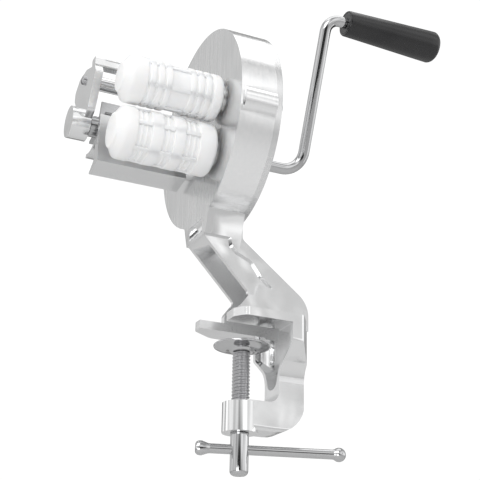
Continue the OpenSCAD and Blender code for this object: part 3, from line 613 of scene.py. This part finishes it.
@dataclass
class GearHousing:
    """The casting with its arm and clamp frame, the gear cover, their screws and bushes."""

    drum_r: float = 62.0
    drum_rounding: float = 0.9
    drum_low_z: float = 62.0
    rim_depth: float = 4.5
    face_x: float = -31.2
    face_play: float = 0.3
    face_low_z: float = 55.0
    cover_edge_x: float = -7.2
    cover_rounding: float = 1.0
    arm_rounding: float = 2.2
    arm_top_z: float = 47.0
    arm_start_x: float = -18.0
    boss_r: float = 10.8
    boss_top_z: float = -42.0
    foot_top_z: float = 5.5
    inside_y: float = 9.5
    inside_play: float = 0.4
    inside_x: float = -16.0
    level: float = 0.9
    upright: float = 0.2

    def near_rim(self, at: Vector) -> bool:
        """Tells if a point lies on the round rim."""
        radius = math.hypot(at.y, at.z - DRUM.z)
        return radius > self.drum_r - self.rim_depth and at.z > self.drum_low_z

    def on_face(self, at: Vector, normal: Vector) -> bool:
        """Tells if a face is part of the machined left face."""
        near = abs(at.x - self.face_x) < self.face_play and at.z > self.face_low_z
        return near and normal.x < -self.level

    def on_boss(self, at: Vector) -> bool:
        """Tells if a point lies on the turned boss of the clamp screw."""
        return at.z < self.boss_top_z and math.hypot(at.x, at.y) < self.boss_r

    def is_inside(self, at: Vector, normal: Vector) -> bool:
        """Tells if a face lies between the arm's walls or in the column's pocket, the faces that
        take the painted shade finish.

        Args:
            at: the face's middle.
            normal: the way it faces.

        Returns:
            Whether it does.
        """
        wall = abs(normal.y) > self.level and at.z < self.arm_top_z \
            and abs(abs(at.y) - self.inside_y) < self.inside_play
        pocket = at.z < self.foot_top_z and abs(at.y) < self.inside_y and at.x > self.inside_x
        return at.z > self.boss_top_z and (wall or pocket)

    def cast_slot(self, face: bmesh.types.BMFace) -> CastSlot:
        """Picks the material slot of one face of the casting.

        Args:
            face: the face.

        Returns:
            Its slot.
        """
        at, normal = face.calc_center_median(), face.normal
        if self.on_face(at, normal):
            return CastSlot.FACE
        if self.near_rim(at) and abs(normal.x) < self.upright:
            return CastSlot.RIM
        if self.on_boss(at):
            return CastSlot.BOSS
        # Inside faces take the painted shade finish.
        return CastSlot.INSIDE if self.is_inside(at, normal) else CastSlot.CASTING

    def build_casting(self) -> None:
        """Rounds the casting's edges by region and gives its faces their finishes."""
        bm = Workbench.casting("body_casting")
        Workbench.round_edges(bm, self.arm_rounding, segments=3, angle=35.0,
                              where=lambda p: p.z < self.arm_top_z and p.x > self.arm_start_x)
        Workbench.round_edges(bm, self.drum_rounding, where=self.near_rim)
        for face in bm.faces:
            face.material_index = self.cast_slot(face)
        Workbench.cast_piece("casting", bm, [Finish[slot.name] for slot in CastSlot],
                             "body_casting")

    def build_cover(self) -> None:
        """Rounds the cover's outer edge and gives its flat side the machined finish."""
        bm = Workbench.casting("gear_cover")
        Workbench.round_edges(bm, self.cover_rounding, segments=3,
                              where=lambda p: p.x > self.cover_edge_x)
        for face in bm.faces:
            face.material_index = int(abs(face.normal.x) > self.level)
        Workbench.cast_piece("cover_plate", bm, (Finish.COVER, Finish.FACE), "gear_cover")

    def build(self) -> None:
        """Builds and dresses the housing."""
        self.build_casting()
        self.build_cover()
        Workbench.keep(Finish.SCREW, "cover_screws")
        Workbench.keep(Finish.BUSH, "front_bushes", "cover_bush")


@dataclass
class EndBracket:
    """The plate with its tie bar and bearing boss at the rollers' free end."""

    rounding: float = 0.8
    inner_x: float = -80.0

    def build(self) -> None:
        """Rounds the bracket's edges and dresses it and its screws."""
        bm = Workbench.casting("end_bracket")
        Workbench.round_edges(bm, self.rounding, where=lambda p: p.x < self.inner_x)
        Workbench.cast_piece("bracket", bm, (Finish.CASTING,), "end_bracket")
        Workbench.keep(Finish.SCREW, "bracket_screws")


@dataclass
class Trough:
    """The forming trough under the cutter."""

    rounding: float = 0.4

    def build(self) -> None:
        """Rounds the trough's edges and dresses it and its screws."""
        bm = Workbench.casting("form_trough")
        Workbench.round_edges(bm, self.rounding, angle=50.0)
        Workbench.cast_piece("trough", bm, (Finish.TROUGH,), "form_trough")
        Workbench.keep(Finish.SCREW, "trough_screws")


@dataclass
class CrankSet:
    """The bent crank rod with its pinion, cutter and grip."""

    axis_y: float = 31.25
    axis_z: float = 2.2
    lean: float = 22.0
    rod_r: float = 3.7
    chamfer: float = 0.5
    start_x: float = -70.4
    reach: float = 85.1
    throw: float = 104.8
    low_bend: float = 14.0
    high_bend: float = 9.0
    bend_steps: int = 14
    rod_steps: int = 40
    grip_x: float = 98.7
    grip_gap: float = 0.3
    grip_len: float = 70.5
    grip_r_near: float = 8.6
    grip_r_far: float = 11.0
    grip_steps: int = 72
    grip_end_round: float = 4.2
    grip_end_inset: float = 0.1
    near_lip: Sequence[Point] = ((0.0, -1.9), (0.25, -1.6), (0.25, -1.1), (0.0, -0.8),
                                 (0.15, -0.35), (0.6, -0.05), (1.2, 0.06))
    taper_shares: Sequence[float] = (0.1, 0.25, 0.4, 0.55, 0.7, 0.85)
    end_angles: Sequence[float] = (80, 65, 50, 35, 20, 0)
    recess_r: float = 5.0
    recess_lip: float = 0.5
    recess_depth: float = 6.4
    pin_r: float = 3.0
    pin_play: float = 0.05
    pin_short: float = 6.1
    cutter_rounding: float = 0.25

    @property
    def place(self) -> Matrix:
        """The crank's own frame: X along its axis, Z up its arm."""
        at = DRUM + Vector((0.0, self.axis_y, self.axis_z))
        return Matrix.Translation(at) @ Matrix.Rotation(math.radians(self.lean), 4, "X")

    def bend(self, bm: Shape, ring: Edges, cent: Triple, angle: float) -> Edges:
        """Bends the rod about a centre, in the plane of the crank.

        Args:
            bm: the rod's shape.
            ring: the open end's edges.
            cent: centre of the bend.
            angle: turn about Y.

        Returns:
            The new open end's edges.
        """
        verts = list({v for e in ring for v in e.verts})
        made = bmesh.ops.spin(bm, geom=verts + ring, cent=cent, axis=(0, 1, 0),
                              angle=math.radians(angle), steps=self.bend_steps, use_merge=False)
        return [g for g in made["geom_last"] if isinstance(g, bmesh.types.BMEdge)]

    def build_rod(self) -> None:
        """Makes the rod in one run: shaft, bend, arm, bend and the pin inside the grip."""
        bm = bmesh.new()
        foot_r = self.rod_r - self.chamfer
        bmesh.ops.create_circle(bm, cap_ends=False, segments=self.rod_steps, radius=foot_r)
        turn = Matrix.Translation((self.start_x, 0, 0)) @ Matrix.Rotation(QUARTER_TURN, 4, "Y")
        bmesh.ops.transform(bm, matrix=turn, verts=bm.verts)
        bmesh.ops.contextual_create(bm, geom=list(bm.edges))
        ring, verts = Workbench.pull(bm, list(bm.edges), (self.chamfer, 0, 0))
        grow = self.rod_r / foot_r
        bmesh.ops.scale(bm, vec=(1, grow, grow), verts=verts)
        elbow = self.reach - self.low_bend
        ring, _ = Workbench.pull(bm, ring, (elbow - self.start_x - self.chamfer, 0, 0))
        ring = self.bend(bm, ring, (elbow, 0, self.low_bend), angle=-90.0)
        ring, _ = Workbench.pull(bm, ring, (0, 0, self.throw - self.low_bend - self.high_bend))
        wrist = self.reach + self.high_bend
        ring = self.bend(bm, ring, (wrist, 0, self.throw - self.high_bend), angle=90.0)
        ring, _ = Workbench.pull(bm, ring, (self.grip_x - self.grip_gap - wrist, 0, 0))
        ring, verts = Workbench.pull(bm, ring, (0, 0, 0))
        share = self.pin_r / self.rod_r
        shrink = Matrix.Translation((0, 0, self.throw)) @ Matrix.Diagonal((1, share, share, 1)) \
            @ Matrix.Translation((0, 0, -self.throw))
        bmesh.ops.transform(bm, matrix=shrink, verts=verts)
        ring, _ = Workbench.pull(bm, ring, (self.grip_len - self.pin_short + self.grip_gap, 0, 0))
        bmesh.ops.contextual_create(bm, geom=ring)
        bmesh.ops.recalc_face_normals(bm, faces=bm.faces)
        Workbench.piece("bent_rod", bm, Body.CRANK, (Finish.PLATING,), ["crank_rod"], self.place)

    def grip_outline(self) -> list[Point]:
        """Lays out the grip: flat near end, tapered body and round far end with a recess.

        Returns:
            Points [along X, radius] round the closed outline.
        """
        start, end = self.grip_x, self.grip_x + self.grip_len
        near, far, bore = self.grip_r_near, self.grip_r_far, self.pin_r + self.pin_play
        points = [(start, bore)] + [(start + x, near + r) for x, r in self.near_lip]
        points += [(start + s * self.grip_len, near + (far - near) * s) for s in self.taper_shares]
        edge = self.grip_end_round
        points += arc(end - edge, far - edge - self.grip_end_inset, edge, self.end_angles)
        return points + [(end, self.recess_r + self.recess_lip),
                         (end - self.recess_lip, self.recess_r),
                         (end - self.recess_depth, self.recess_r), (end - self.recess_depth, bore)]

    def build_grip(self) -> None:
        """Turns the grip on its pin."""
        bm = bmesh.new()
        Workbench.spin(bm, self.grip_outline(), self.grip_steps, closed=True)
        bmesh.ops.recalc_face_normals(bm, faces=bm.faces)
        place = self.place @ Matrix.Translation((0, 0, self.throw))
        Workbench.piece("handle", bm, Body.GRIP, (Finish.HANDLE,), ["grip"], place, angle=28.0)

    def build(self) -> None:
        """Builds and dresses the crank."""
        self.build_rod()
        self.build_grip()
        bm = Workbench.casting("cutter_rotor")
        Workbench.round_edges(bm, self.cutter_rounding, angle=50.0)
        Workbench.piece("cutter", bm, Body.CRANK, (Finish.CUTTER,), ["cutter_rotor"])
        Workbench.keep(Finish.GEAR, "drive_pinion")
        Workbench.keep(Finish.SCREW, "pinion_pin", "cutter_pins", "grip_screw")


class GearTrain:
    """The idler and the two roller wheels inside the housing."""

    def build(self) -> None:
        """Dresses the gear train's nodes."""
        Workbench.keep(Finish.SCREW, "idler_stud", "idler_clip", "lower_shaft", "upper_shaft")
        Workbench.keep(Finish.GEAR, "idler_gear", "lower_gear", "upper_gear")


@dataclass
class Roller:
    """A moulded feed roller with rings, recessed bands and long ribs.

    Bands are [start, end, depth]; starts and ends are shares of the roller's length.
    """

    name: str
    node: str
    body: Body
    y: float
    z: float
    radius: float
    bands: Sequence[Triple]
    rings: Sequence[Point] = ()
    ring_rise: float = 0.6
    slope: float = 0.25
    rib_rise_share: float = 0.8
    rib_depth: float = 1.7
    rib_turn: float = 0.0
    rib_ends: Point = (0.2, 0.8)
    rib_w: float = 2.4
    rib_count: int = 6
    rib_root: float = 4.0
    rib_rounding: float = 0.4
    rounding: float = 0.22
    length: float = 60.0
    gap: float = 2.2
    end_round: float = 5.0
    end_lip: float = 1.2
    lip_angles: Sequence[float] = (180, 150, 120, 90)
    shoulder: Sequence[Point] = ((-1.1, -0.75), (-0.1, -0.2), (1.1, 0.0))
    inner_round: float = 2.6
    inner_angles: Sequence[float] = (90, 72, 54, 36, 18, 0)
    bore: float = 4.03
    bore_wall: float = 3.0
    bore_start: float = 6.0
    steps: int = 96
    least_step: float = 0.02

    def along(self, share: float) -> float:
        """Gives the place along X of a share of the roller's length."""
        return -self.gap - self.length + share * self.length

    def band(self, start: float, end: float, depth: float) -> list[Point]:
        """Lays out one recessed band with the rings that stand in it.

        Args:
            start: share of the length where it starts.
            end: share of the length where it ends.
            depth: how far it is recessed.

        Returns:
            Points [along X, radius].
        """
        a, b, low, slope = self.along(start), self.along(end), self.radius - depth, self.slope
        points = [(a, self.radius), (a + slope, low)]
        for ring in self.rings:
            if start < ring[0] and ring[1] < end:
                c, d = (self.along(share) for share in ring)
                top = low + self.ring_rise
                points += [(c - slope, low), (c, top), (d, top), (d + slope, low)]
        return points + [(b - slope, low), (b, self.radius)]

    def profile(self) -> list[Point]:
        """Lays out the roller's outline.

        Returns:
            Points [along X, radius] from one end of the axis to the other, bore included.
        """
        x0, x1, lip, edge = self.along(0), self.along(1), self.end_lip, self.inner_round
        lip_r = self.radius - self.end_round - lip
        points: list[Point] = [(x0, 0.0), (x0, lip_r)]
        points += arc(x0 + lip, lip_r, lip, self.lip_angles)
        points += [(x0 + self.end_round + x, self.radius + r) for x, r in self.shoulder]
        for band in self.bands:
            points += self.band(*band)
        points += arc(x1 - edge, self.radius - edge, edge, self.inner_angles)
        seat = x0 + self.bore_start
        return points + [(x1, self.bore), (seat, self.bore), (seat, 0.0)]

    def build(self) -> None:
        """Turns the roller, rounds its ring edges and sets in its ribs."""
        clean: list[Point] = []
        for point in self.profile():
            if not clean or math.dist(clean[-1], point) > self.least_step:
                clean.append(point)
        bm = Workbench.turned(clean, self.steps)
        Workbench.round_edges(bm, self.rounding, angle=35.0,
                              where=lambda p: math.hypot(p.y, p.z) > self.bore + self.bore_wall)
        start, end = (self.along(share) for share in self.rib_ends)
        low = self.radius - self.rib_root
        top = self.radius - self.rib_depth * (1 - self.rib_rise_share)
        for i in range(self.rib_count):
            rib = Workbench.block((start, -self.rib_w / 2, low), (end, self.rib_w / 2, top),
                                  self.rib_rounding)
            turn = math.radians(360 * i / self.rib_count + self.rib_turn)
            Workbench.add(bm, rib, Matrix.Rotation(turn, 4, "X"))
        place = Matrix.Translation(DRUM + Vector((0, self.y, self.z)))
        Workbench.piece(self.name, bm, self.body, (Finish.ROLLER,), [self.node], place, angle=40.0)


@dataclass
class TableClamp:
    """The clamp screw with its thread, the pressure disc and the cross bar.

    thread_shares are [share of the pitch, 1 at the crest]. bulb_steps are [step along X, half
    width, half thickness]. The other tables are [along the axis, radius or change of radius].
    """

    screw_r: float = 5.2
    depth: float = 0.8
    pitch: float = 2.0
    crest_play: float = 0.04
    thread_shares: Sequence[Point] = ((0.0, 0.0), (0.12, 0.0), (0.42, 1.0), (0.6, 1.0),
                                      (0.9, 0.0), (1.0, 0.0))
    thread_steps: int = 32
    thread_merge: float = 0.005
    top: float = -14.7
    thread_low: float = -61.3
    shank: float = 23.3
    shank_steps: int = 64
    shank_chamfer: float = 0.1
    shank_play: float = 0.05
    foot_round: float = 2.6
    foot_angles: Sequence[float] = (90, 70, 50, 30, 15, 0)
    foot_centre: Sequence[Point] = ((0.0, -3.2), (-0.5, -3.6))
    neck: Sequence[Point] = ((-3.4, 0.0), (-3.4, 3.0), (-3.0, 3.4), (0.0, 3.4), (0.0, 0.0))
    neck_steps: int = 48
    disc_top: float = -9.9
    disc_r: float = 16.3
    disc_steps: int = 96
    disc_rim: Sequence[Point] = ((0.0, -0.7), (0.15, -0.25), (0.5, 0.0), (0.95, 0.0),
                                 (1.35, -0.2), (1.6, -0.8), (1.95, -3.2), (2.2, -6.0))
    disc_hub: Sequence[Point] = ((2.5, 8.6), (3.0, 7.7), (3.7, 7.2), (4.2, 6.8), (4.4, 6.0),
                                 (4.45, 5.2), (4.45, 3.45), (1.0, 3.45), (1.0, 0.0))
    bar_z: float = -70.1
    bar_r: float = 2.75
    bar_long: float = 56.6
    bar_short: float = 16.9
    bar_turn: float = -15.8
    bar_steps: int = 48
    ball_r: float = 4.0
    ball_steps: int = 12
    ball_neck: Sequence[Point] = ((-0.6, 0.0), (0.1, 0.25))
    ball_start_rise: float = 0.45
    bulb_start: float = 0.2
    bulb_sides: int = 32
    bulb_steps: Sequence[Triple] = (
        (-1.2, 2.95, 2.95), (-1.6, 3.55, 3.0), (-1.5, 4.1, 2.95), (-1.2, 4.15, 2.85),
        (-1.2, 3.9, 2.7), (-0.8, 3.3, 2.4), (-0.4, 2.6, 1.9))

    def cut_thread(self) -> Shape:
        """Turns a helical thread and cuts it level at both ends.

        Returns:
            The closed shape.
        """
        root, crest = self.screw_r - self.depth, self.screw_r - self.crest_play
        turns = int((self.top - self.thread_low) / self.pitch) + 2
        start, steps = self.thread_low - self.pitch, self.thread_steps
        bm = bmesh.new()
        verts = [bm.verts.new((crest if rise else root, 0.0, start + share * self.pitch))
                 for share, rise in self.thread_shares]
        edges = [bm.edges.new(pair) for pair in zip(verts, verts[1:])]
        bmesh.ops.spin(bm, geom=verts + edges, cent=(0, 0, 0), axis=(0, 0, 1),
                       angle=math.tau * turns, dvec=(0, 0, self.pitch / steps),
                       steps=steps * turns, use_merge=False)
        bmesh.ops.remove_doubles(bm, verts=bm.verts, dist=self.thread_merge)
        for height, side in ((self.top, 1), (self.thread_low, -1)):
            cut = bmesh.ops.bisect_plane(bm, geom=bm.verts[:] + bm.edges[:] + bm.faces[:],
                                         plane_co=(0, 0, height), plane_no=(0, 0, side),
                                         clear_outer=True)
            rim = [g for g in cut["geom_cut"] if isinstance(g, bmesh.types.BMEdge)]
            bmesh.ops.edgeloop_fill(bm, edges=rim)
        bmesh.ops.recalc_face_normals(bm, faces=bm.faces)
        return bm

    def build_screw(self) -> None:
        """Joins the thread, the plain shank with its rounded foot and the neck in the disc."""
        bm, r, edge = self.cut_thread(), self.screw_r, self.foot_round
        head, foot = -self.thread_low, self.shank - self.thread_low
        profile: list[Point] = [(head, 0.0), (head, r - self.depth), (head + self.shank_chamfer, r)]
        profile += arc(foot - edge, r - edge, edge, self.foot_angles)
        profile += [(foot + x, r + inset) for x, inset in self.foot_centre]
        profile.append((profile[-1][0], 0.0))
        upright = Matrix.Rotation(QUARTER_TURN, 4, "Y")
        Workbench.add(bm, Workbench.turned(profile, self.shank_steps), upright)
        neck = [(-self.top + x, radius) for x, radius in self.neck]
        Workbench.add(bm, Workbench.turned(neck, self.neck_steps), upright)
        for face in bm.faces:
            plain = face.calc_center_median().z < self.thread_low + self.shank_play
            face.material_index = int(plain)
        Workbench.piece("threaded_screw", bm, Body.SCREW, (Finish.SCREW, Finish.PLATING),
                        ["clamp_screw"], angle=24.0)

    def build_disc(self) -> None:
        """Turns the pressure disc with its domed back and swaged hub."""
        start = -self.disc_top
        profile: list[Point] = [(start, 0.0)]
        profile += [(start + x, self.disc_r + inset) for x, inset in self.disc_rim]
        profile += [(start + x, radius) for x, radius in self.disc_hub]
        bm = Workbench.turned(profile, self.disc_steps)
        Workbench.piece("swivel_disc", bm, Body.PAD, (Finish.PLATING,), ["pressure_disc"],
                        Matrix.Rotation(QUARTER_TURN, 4, "Y"), angle=40.0)

    def turn_bar(self) -> Shape:
        """Turns the rod with its ball end.

        Returns:
            The closed shape, along X.
        """
        r, ball, end = self.bar_r, self.ball_r, self.bar_long
        join = end - math.sqrt(ball * ball - r * r)
        profile: list[Point] = [(-self.bar_short, 0.0), (-self.bar_short, r)]
        profile += [(join + x, r + rise) for x, rise in self.ball_neck]
        start = 180 - math.degrees(math.asin((r + self.ball_start_rise) / ball))
        shares = (1 - i / self.ball_steps for i in range(self.ball_steps + 1))
        profile += arc(end, 0.0, ball, (start * share for share in shares))
        return Workbench.turned(profile, self.bar_steps)

    def pull_bulb(self) -> Shape:
        """Makes the bar's flattened bulb, ring by ring.

        Returns:
            The closed shape.
        """
        bulb, r = bmesh.new(), self.bar_r
        bmesh.ops.create_circle(bulb, cap_ends=False, segments=self.bulb_sides, radius=r)
        start = Matrix.Translation((self.bulb_start - self.bar_short, 0, 0))
        bmesh.ops.transform(bulb, matrix=start @ Matrix.Rotation(-QUARTER_TURN, 4, "Y"),
                            verts=bulb.verts)
        ring = list(bulb.edges)
        bmesh.ops.contextual_create(bulb, geom=ring)
        last_wide = last_thick = r
        for step, wide, thick in self.bulb_steps:
            ring, verts = Workbench.pull(bulb, ring, (step, 0, 0))
            bmesh.ops.scale(bulb, vec=(1, thick / last_thick, wide / last_wide), verts=verts)
            last_wide, last_thick = wide, thick
        bmesh.ops.contextual_create(bulb, geom=ring)
        bmesh.ops.recalc_face_normals(bulb, faces=bulb.faces)
        return bulb

    def build_bar(self) -> None:
        """Makes the cross bar: ball at one end, flattened bulb at the other."""
        bm = self.turn_bar()
        Workbench.add(bm, self.pull_bulb())
        turn = Matrix.Rotation(math.radians(self.bar_turn), 4, "Z")
        place = Matrix.Translation((0, 0, self.bar_z)) @ turn
        Workbench.piece("tommy_bar", bm, Body.BAR, (Finish.PLATING,), ["cross_bar"], place,
                        angle=30.0)

    def build(self) -> None:
        """Builds and dresses the clamp's moving pieces."""
        self.build_screw()
        self.build_disc()
        self.build_bar()


@dataclass(frozen=True)
class Lamp:
    """One soft area light: places in metres, power in watts."""

    name: str
    at: Triple
    aim: Triple
    size: Point
    power: float

    def hang(self) -> None:
        """Hangs the light in the scene, facing its aim."""
        data = bpy.data.lights.new(self.name, "AREA")
        data.shape, data.energy = "RECTANGLE", self.power
        data.size, data.size_y = self.size
        lamp = bpy.data.objects.new(self.name, data)
        bpy.context.scene.collection.objects.link(lamp)
        lamp.location = self.at
        facing = Vector(self.aim) - Vector(self.at)
        lamp.rotation_euler = facing.to_track_quat("-Z", "Y").to_euler()


@dataclass
class Studio:
    """The camera, the pale floor, the soft lights and the backdrop."""

    azimuth: float = 24.0
    depression: float = 21.82
    roll: float = 1.36
    across: float = -24.5
    up: float = 67.7
    distance: float = 668.0
    focal_px: float = 1095.0
    picture_px: float = 480.0
    sensor: float = 36.0
    clip: Point = (0.05, 20.0)
    floor_z: float = -0.38
    floor_size: float = 3.0
    floor_tone: float = 0.82
    floor_rough: float = 0.9
    heights: Sequence[Stop] = ((0.1, (0.4, 0.4, 0.405)), (0.42, grey(0.6)), (0.55, grey(0.9)),
                               (0.72, grey(1.0)), (0.95, grey(0.62)))
    facings: Sequence[Stop] = ((0.0, grey(0.3)), (0.1, grey(0.5)), (0.21, grey(0.92)),
                               (0.31, grey(0.6)), (0.42, grey(0.95)), (0.91, grey(1.0)),
                               (0.955, grey(0.05)))
    facing_level: float = 0.95
    facing_drop: float = -0.3
    cloud_scale: float = 3.2
    cloud_span: Point = (0.36, 0.62)
    cloud_shades: Point = (0.5, 1.08)
    sky_power: float = 1.3
    white_power: float = 1.05
    lamps: Sequence[Lamp] = (
        Lamp("key", (-0.75, -0.65, 0.75), (0.0, 0.0, 0.1), (0.7, 0.7), 3.4),
        Lamp("top", (0.05, 0.0, 1.1), (0.0, 0.0, 0.0), (0.9, 0.9), 2.5),
        Lamp("right", (0.9, -0.35, 0.25), (0.0, 0.0, 0.1), (0.4, 0.9), 0.55),
        Lamp("fill", (-0.6, -0.7, -0.3), (0.0, 0.0, 0.05), (0.5, 0.5), 1.8))

    def axes(self) -> tuple[Vector, Vector, Vector]:
        """Works out the camera's right, up and back directions.

        Returns:
            The three directions.
        """
        th, ph, ro = (math.radians(a) for a in (self.azimuth, self.depression, self.roll))
        back = Vector((-math.sin(th) * math.cos(ph), -math.cos(th) * math.cos(ph), -math.sin(ph)))
        right = Vector((math.cos(th), -math.sin(th), 0.0))
        top = back.cross(right)
        top = top if top.z > 0 else -top
        return (math.cos(ro) * right + math.sin(ro) * top,
                -math.sin(ro) * right + math.cos(ro) * top, back)

    def build_camera(self) -> None:
        """Sets the camera at the photograph's place."""
        right, top, back = self.axes()
        eye = self.distance * back - self.across * right - self.up * top + DRUM
        data = bpy.data.cameras.new("view")
        data.sensor_width = self.sensor
        data.lens = self.focal_px / self.picture_px * self.sensor
        data.clip_start, data.clip_end = self.clip
        camera = bpy.data.objects.new("view", data)
        bpy.context.scene.collection.objects.link(camera)
        matrix = Matrix((right, top, back)).transposed().to_4x4()
        matrix.translation = eye * MM
        camera.matrix_world = matrix
        bpy.context.scene.camera = camera

    def build_floor(self) -> None:
        """Lays a plain pale floor."""
        bm = bmesh.new()
        bmesh.ops.create_grid(bm, x_segments=1, y_segments=1, size=self.floor_size)
        bmesh.ops.translate(bm, vec=(0, 0, self.floor_z), verts=bm.verts)
        mesh = bpy.data.meshes.new("floor")
        bm.to_mesh(mesh)
        bm.free()
        floor = bpy.data.objects.new("floor", mesh)
        bpy.context.scene.collection.objects.link(floor)
        tree = Tree("pale_floor")
        tree.fix(Roughness=self.floor_rough)
        tree.surface.inputs["Base Color"].default_value = (*grey(self.floor_tone), 1.0)
        mesh.materials.append(tree.material)

    def build_sky(self) -> None:
        """Makes a backdrop, white to the camera and shaded in reflections.

        The shades go from floor to ceiling and round the machine, with slow clouds, and darken
        behind the camera.
        """
        world = bpy.data.worlds.new("backdrop")
        bpy.context.scene.world = world
        world.use_nodes = True
        bench = NodeBench(world.node_tree, "Generated")
        new, link = bench.nodes.new, bench.links.new
        split, dot = new("ShaderNodeSeparateXYZ"), new("ShaderNodeVectorMath")
        link(bench.place, split.inputs[0])
        rise = bench.spread(split.outputs["Z"], (-1.0, 1.0), (0.0, 1.0))
        th, level = math.radians(self.azimuth), self.facing_level
        dot.operation = "DOT_PRODUCT"
        dot.inputs[1].default_value = (-math.sin(th) * level, -math.cos(th) * level,
                                       self.facing_drop)
        link(bench.place, dot.inputs[0])
        facing = bench.spread(dot.outputs["Value"], (-1.0, 1.0), (0.0, 1.0))
        clouds = bench.noise((self.cloud_scale,) * 3, HAZE)
        tone = bench.ramp(rise, self.heights)
        for factor in (bench.ramp(facing, self.facings),
                       bench.spread(clouds, self.cloud_span, self.cloud_shades)):
            mix = new("ShaderNodeMix")
            mix.data_type, mix.blend_type = "RGBA", "MULTIPLY"
            mix.inputs["Factor"].default_value = 1.0
            link(tone, mix.inputs["A"])
            link(factor, mix.inputs["B"])
            tone = mix.outputs["Result"]
        soft, white = new("ShaderNodeBackground"), new("ShaderNodeBackground")
        link(tone, soft.inputs["Color"])
        soft.inputs["Strength"].default_value = self.sky_power
        white.inputs["Color"].default_value = (*grey(1.0), 1.0)
        white.inputs["Strength"].default_value = self.white_power
        choose = new("ShaderNodeMixShader")
        link(new("ShaderNodeLightPath").outputs["Is Camera Ray"], choose.inputs["Fac"])
        link(soft.outputs[0], choose.inputs[1])
        link(white.outputs[0], choose.inputs[2])
        link(choose.outputs[0], new("ShaderNodeOutputWorld").inputs["Surface"])

    def build(self) -> None:
        """Sets up the camera, the floor, the backdrop and the lights."""
        self.build_camera()
        self.build_floor()
        self.build_sky()
        for lamp in self.lamps:
            lamp.hang()
        view = bpy.context.scene.view_settings
        view.view_transform, view.look, view.exposure, view.gamma = "Standard", "None", 0.0, 1.0


def grooves(centres: Sequence[float], half: float, depth: float) -> tuple[Triple, ...]:
    """Lays out narrow bands of a roller, all alike.

    Args:
        centres: the middle of each, as a share of the roller's length.
        half: half their width, as a share.
        depth: how far they are recessed.

    Returns:
        The bands, each [start, end, depth].
    """
    return tuple((centre - half, centre + half, depth) for centre in centres)


def main() -> None:
    """Builds the studio and every sub-assembly in order."""
    logging.basicConfig(level=logging.INFO, format="%(name)s %(message)s")
    parts = [
        Studio(),
        GearHousing(),
        EndBracket(),
        Trough(),
        CrankSet(),
        GearTrain(),
        Roller("feed_roller_lower", "lower_roller", Body.LOWER, y=-21.0, z=-25.0, radius=15.7,
               bands=((0.19, 0.335, 1.7), (0.445, 0.56, 1.7), (0.665, 0.82, 1.7)),
               rings=((0.228, 0.244), (0.28, 0.296), (0.494, 0.511), (0.706, 0.722),
                      (0.763, 0.779)),
               rib_turn=25.0, rib_ends=(0.19, 0.82)),
        Roller("feed_roller_upper", "upper_roller", Body.UPPER, y=-29.928, z=4.948, radius=14.0,
               bands=grooves((0.235, 0.315, 0.395), half=0.0167, depth=1.0) + ((0.46, 0.66, 1.0),)
               + grooves((0.72, 0.8, 0.88), half=0.0167, depth=1.0),
               rib_turn=60.0, rib_ends=(0.235, 0.88), rib_depth=1.0),
        TableClamp(),
    ]
    for part in parts:
        part.build()
        LOG.info("finished %s", type(part).__name__)


if __name__ == "__main__":
    main()
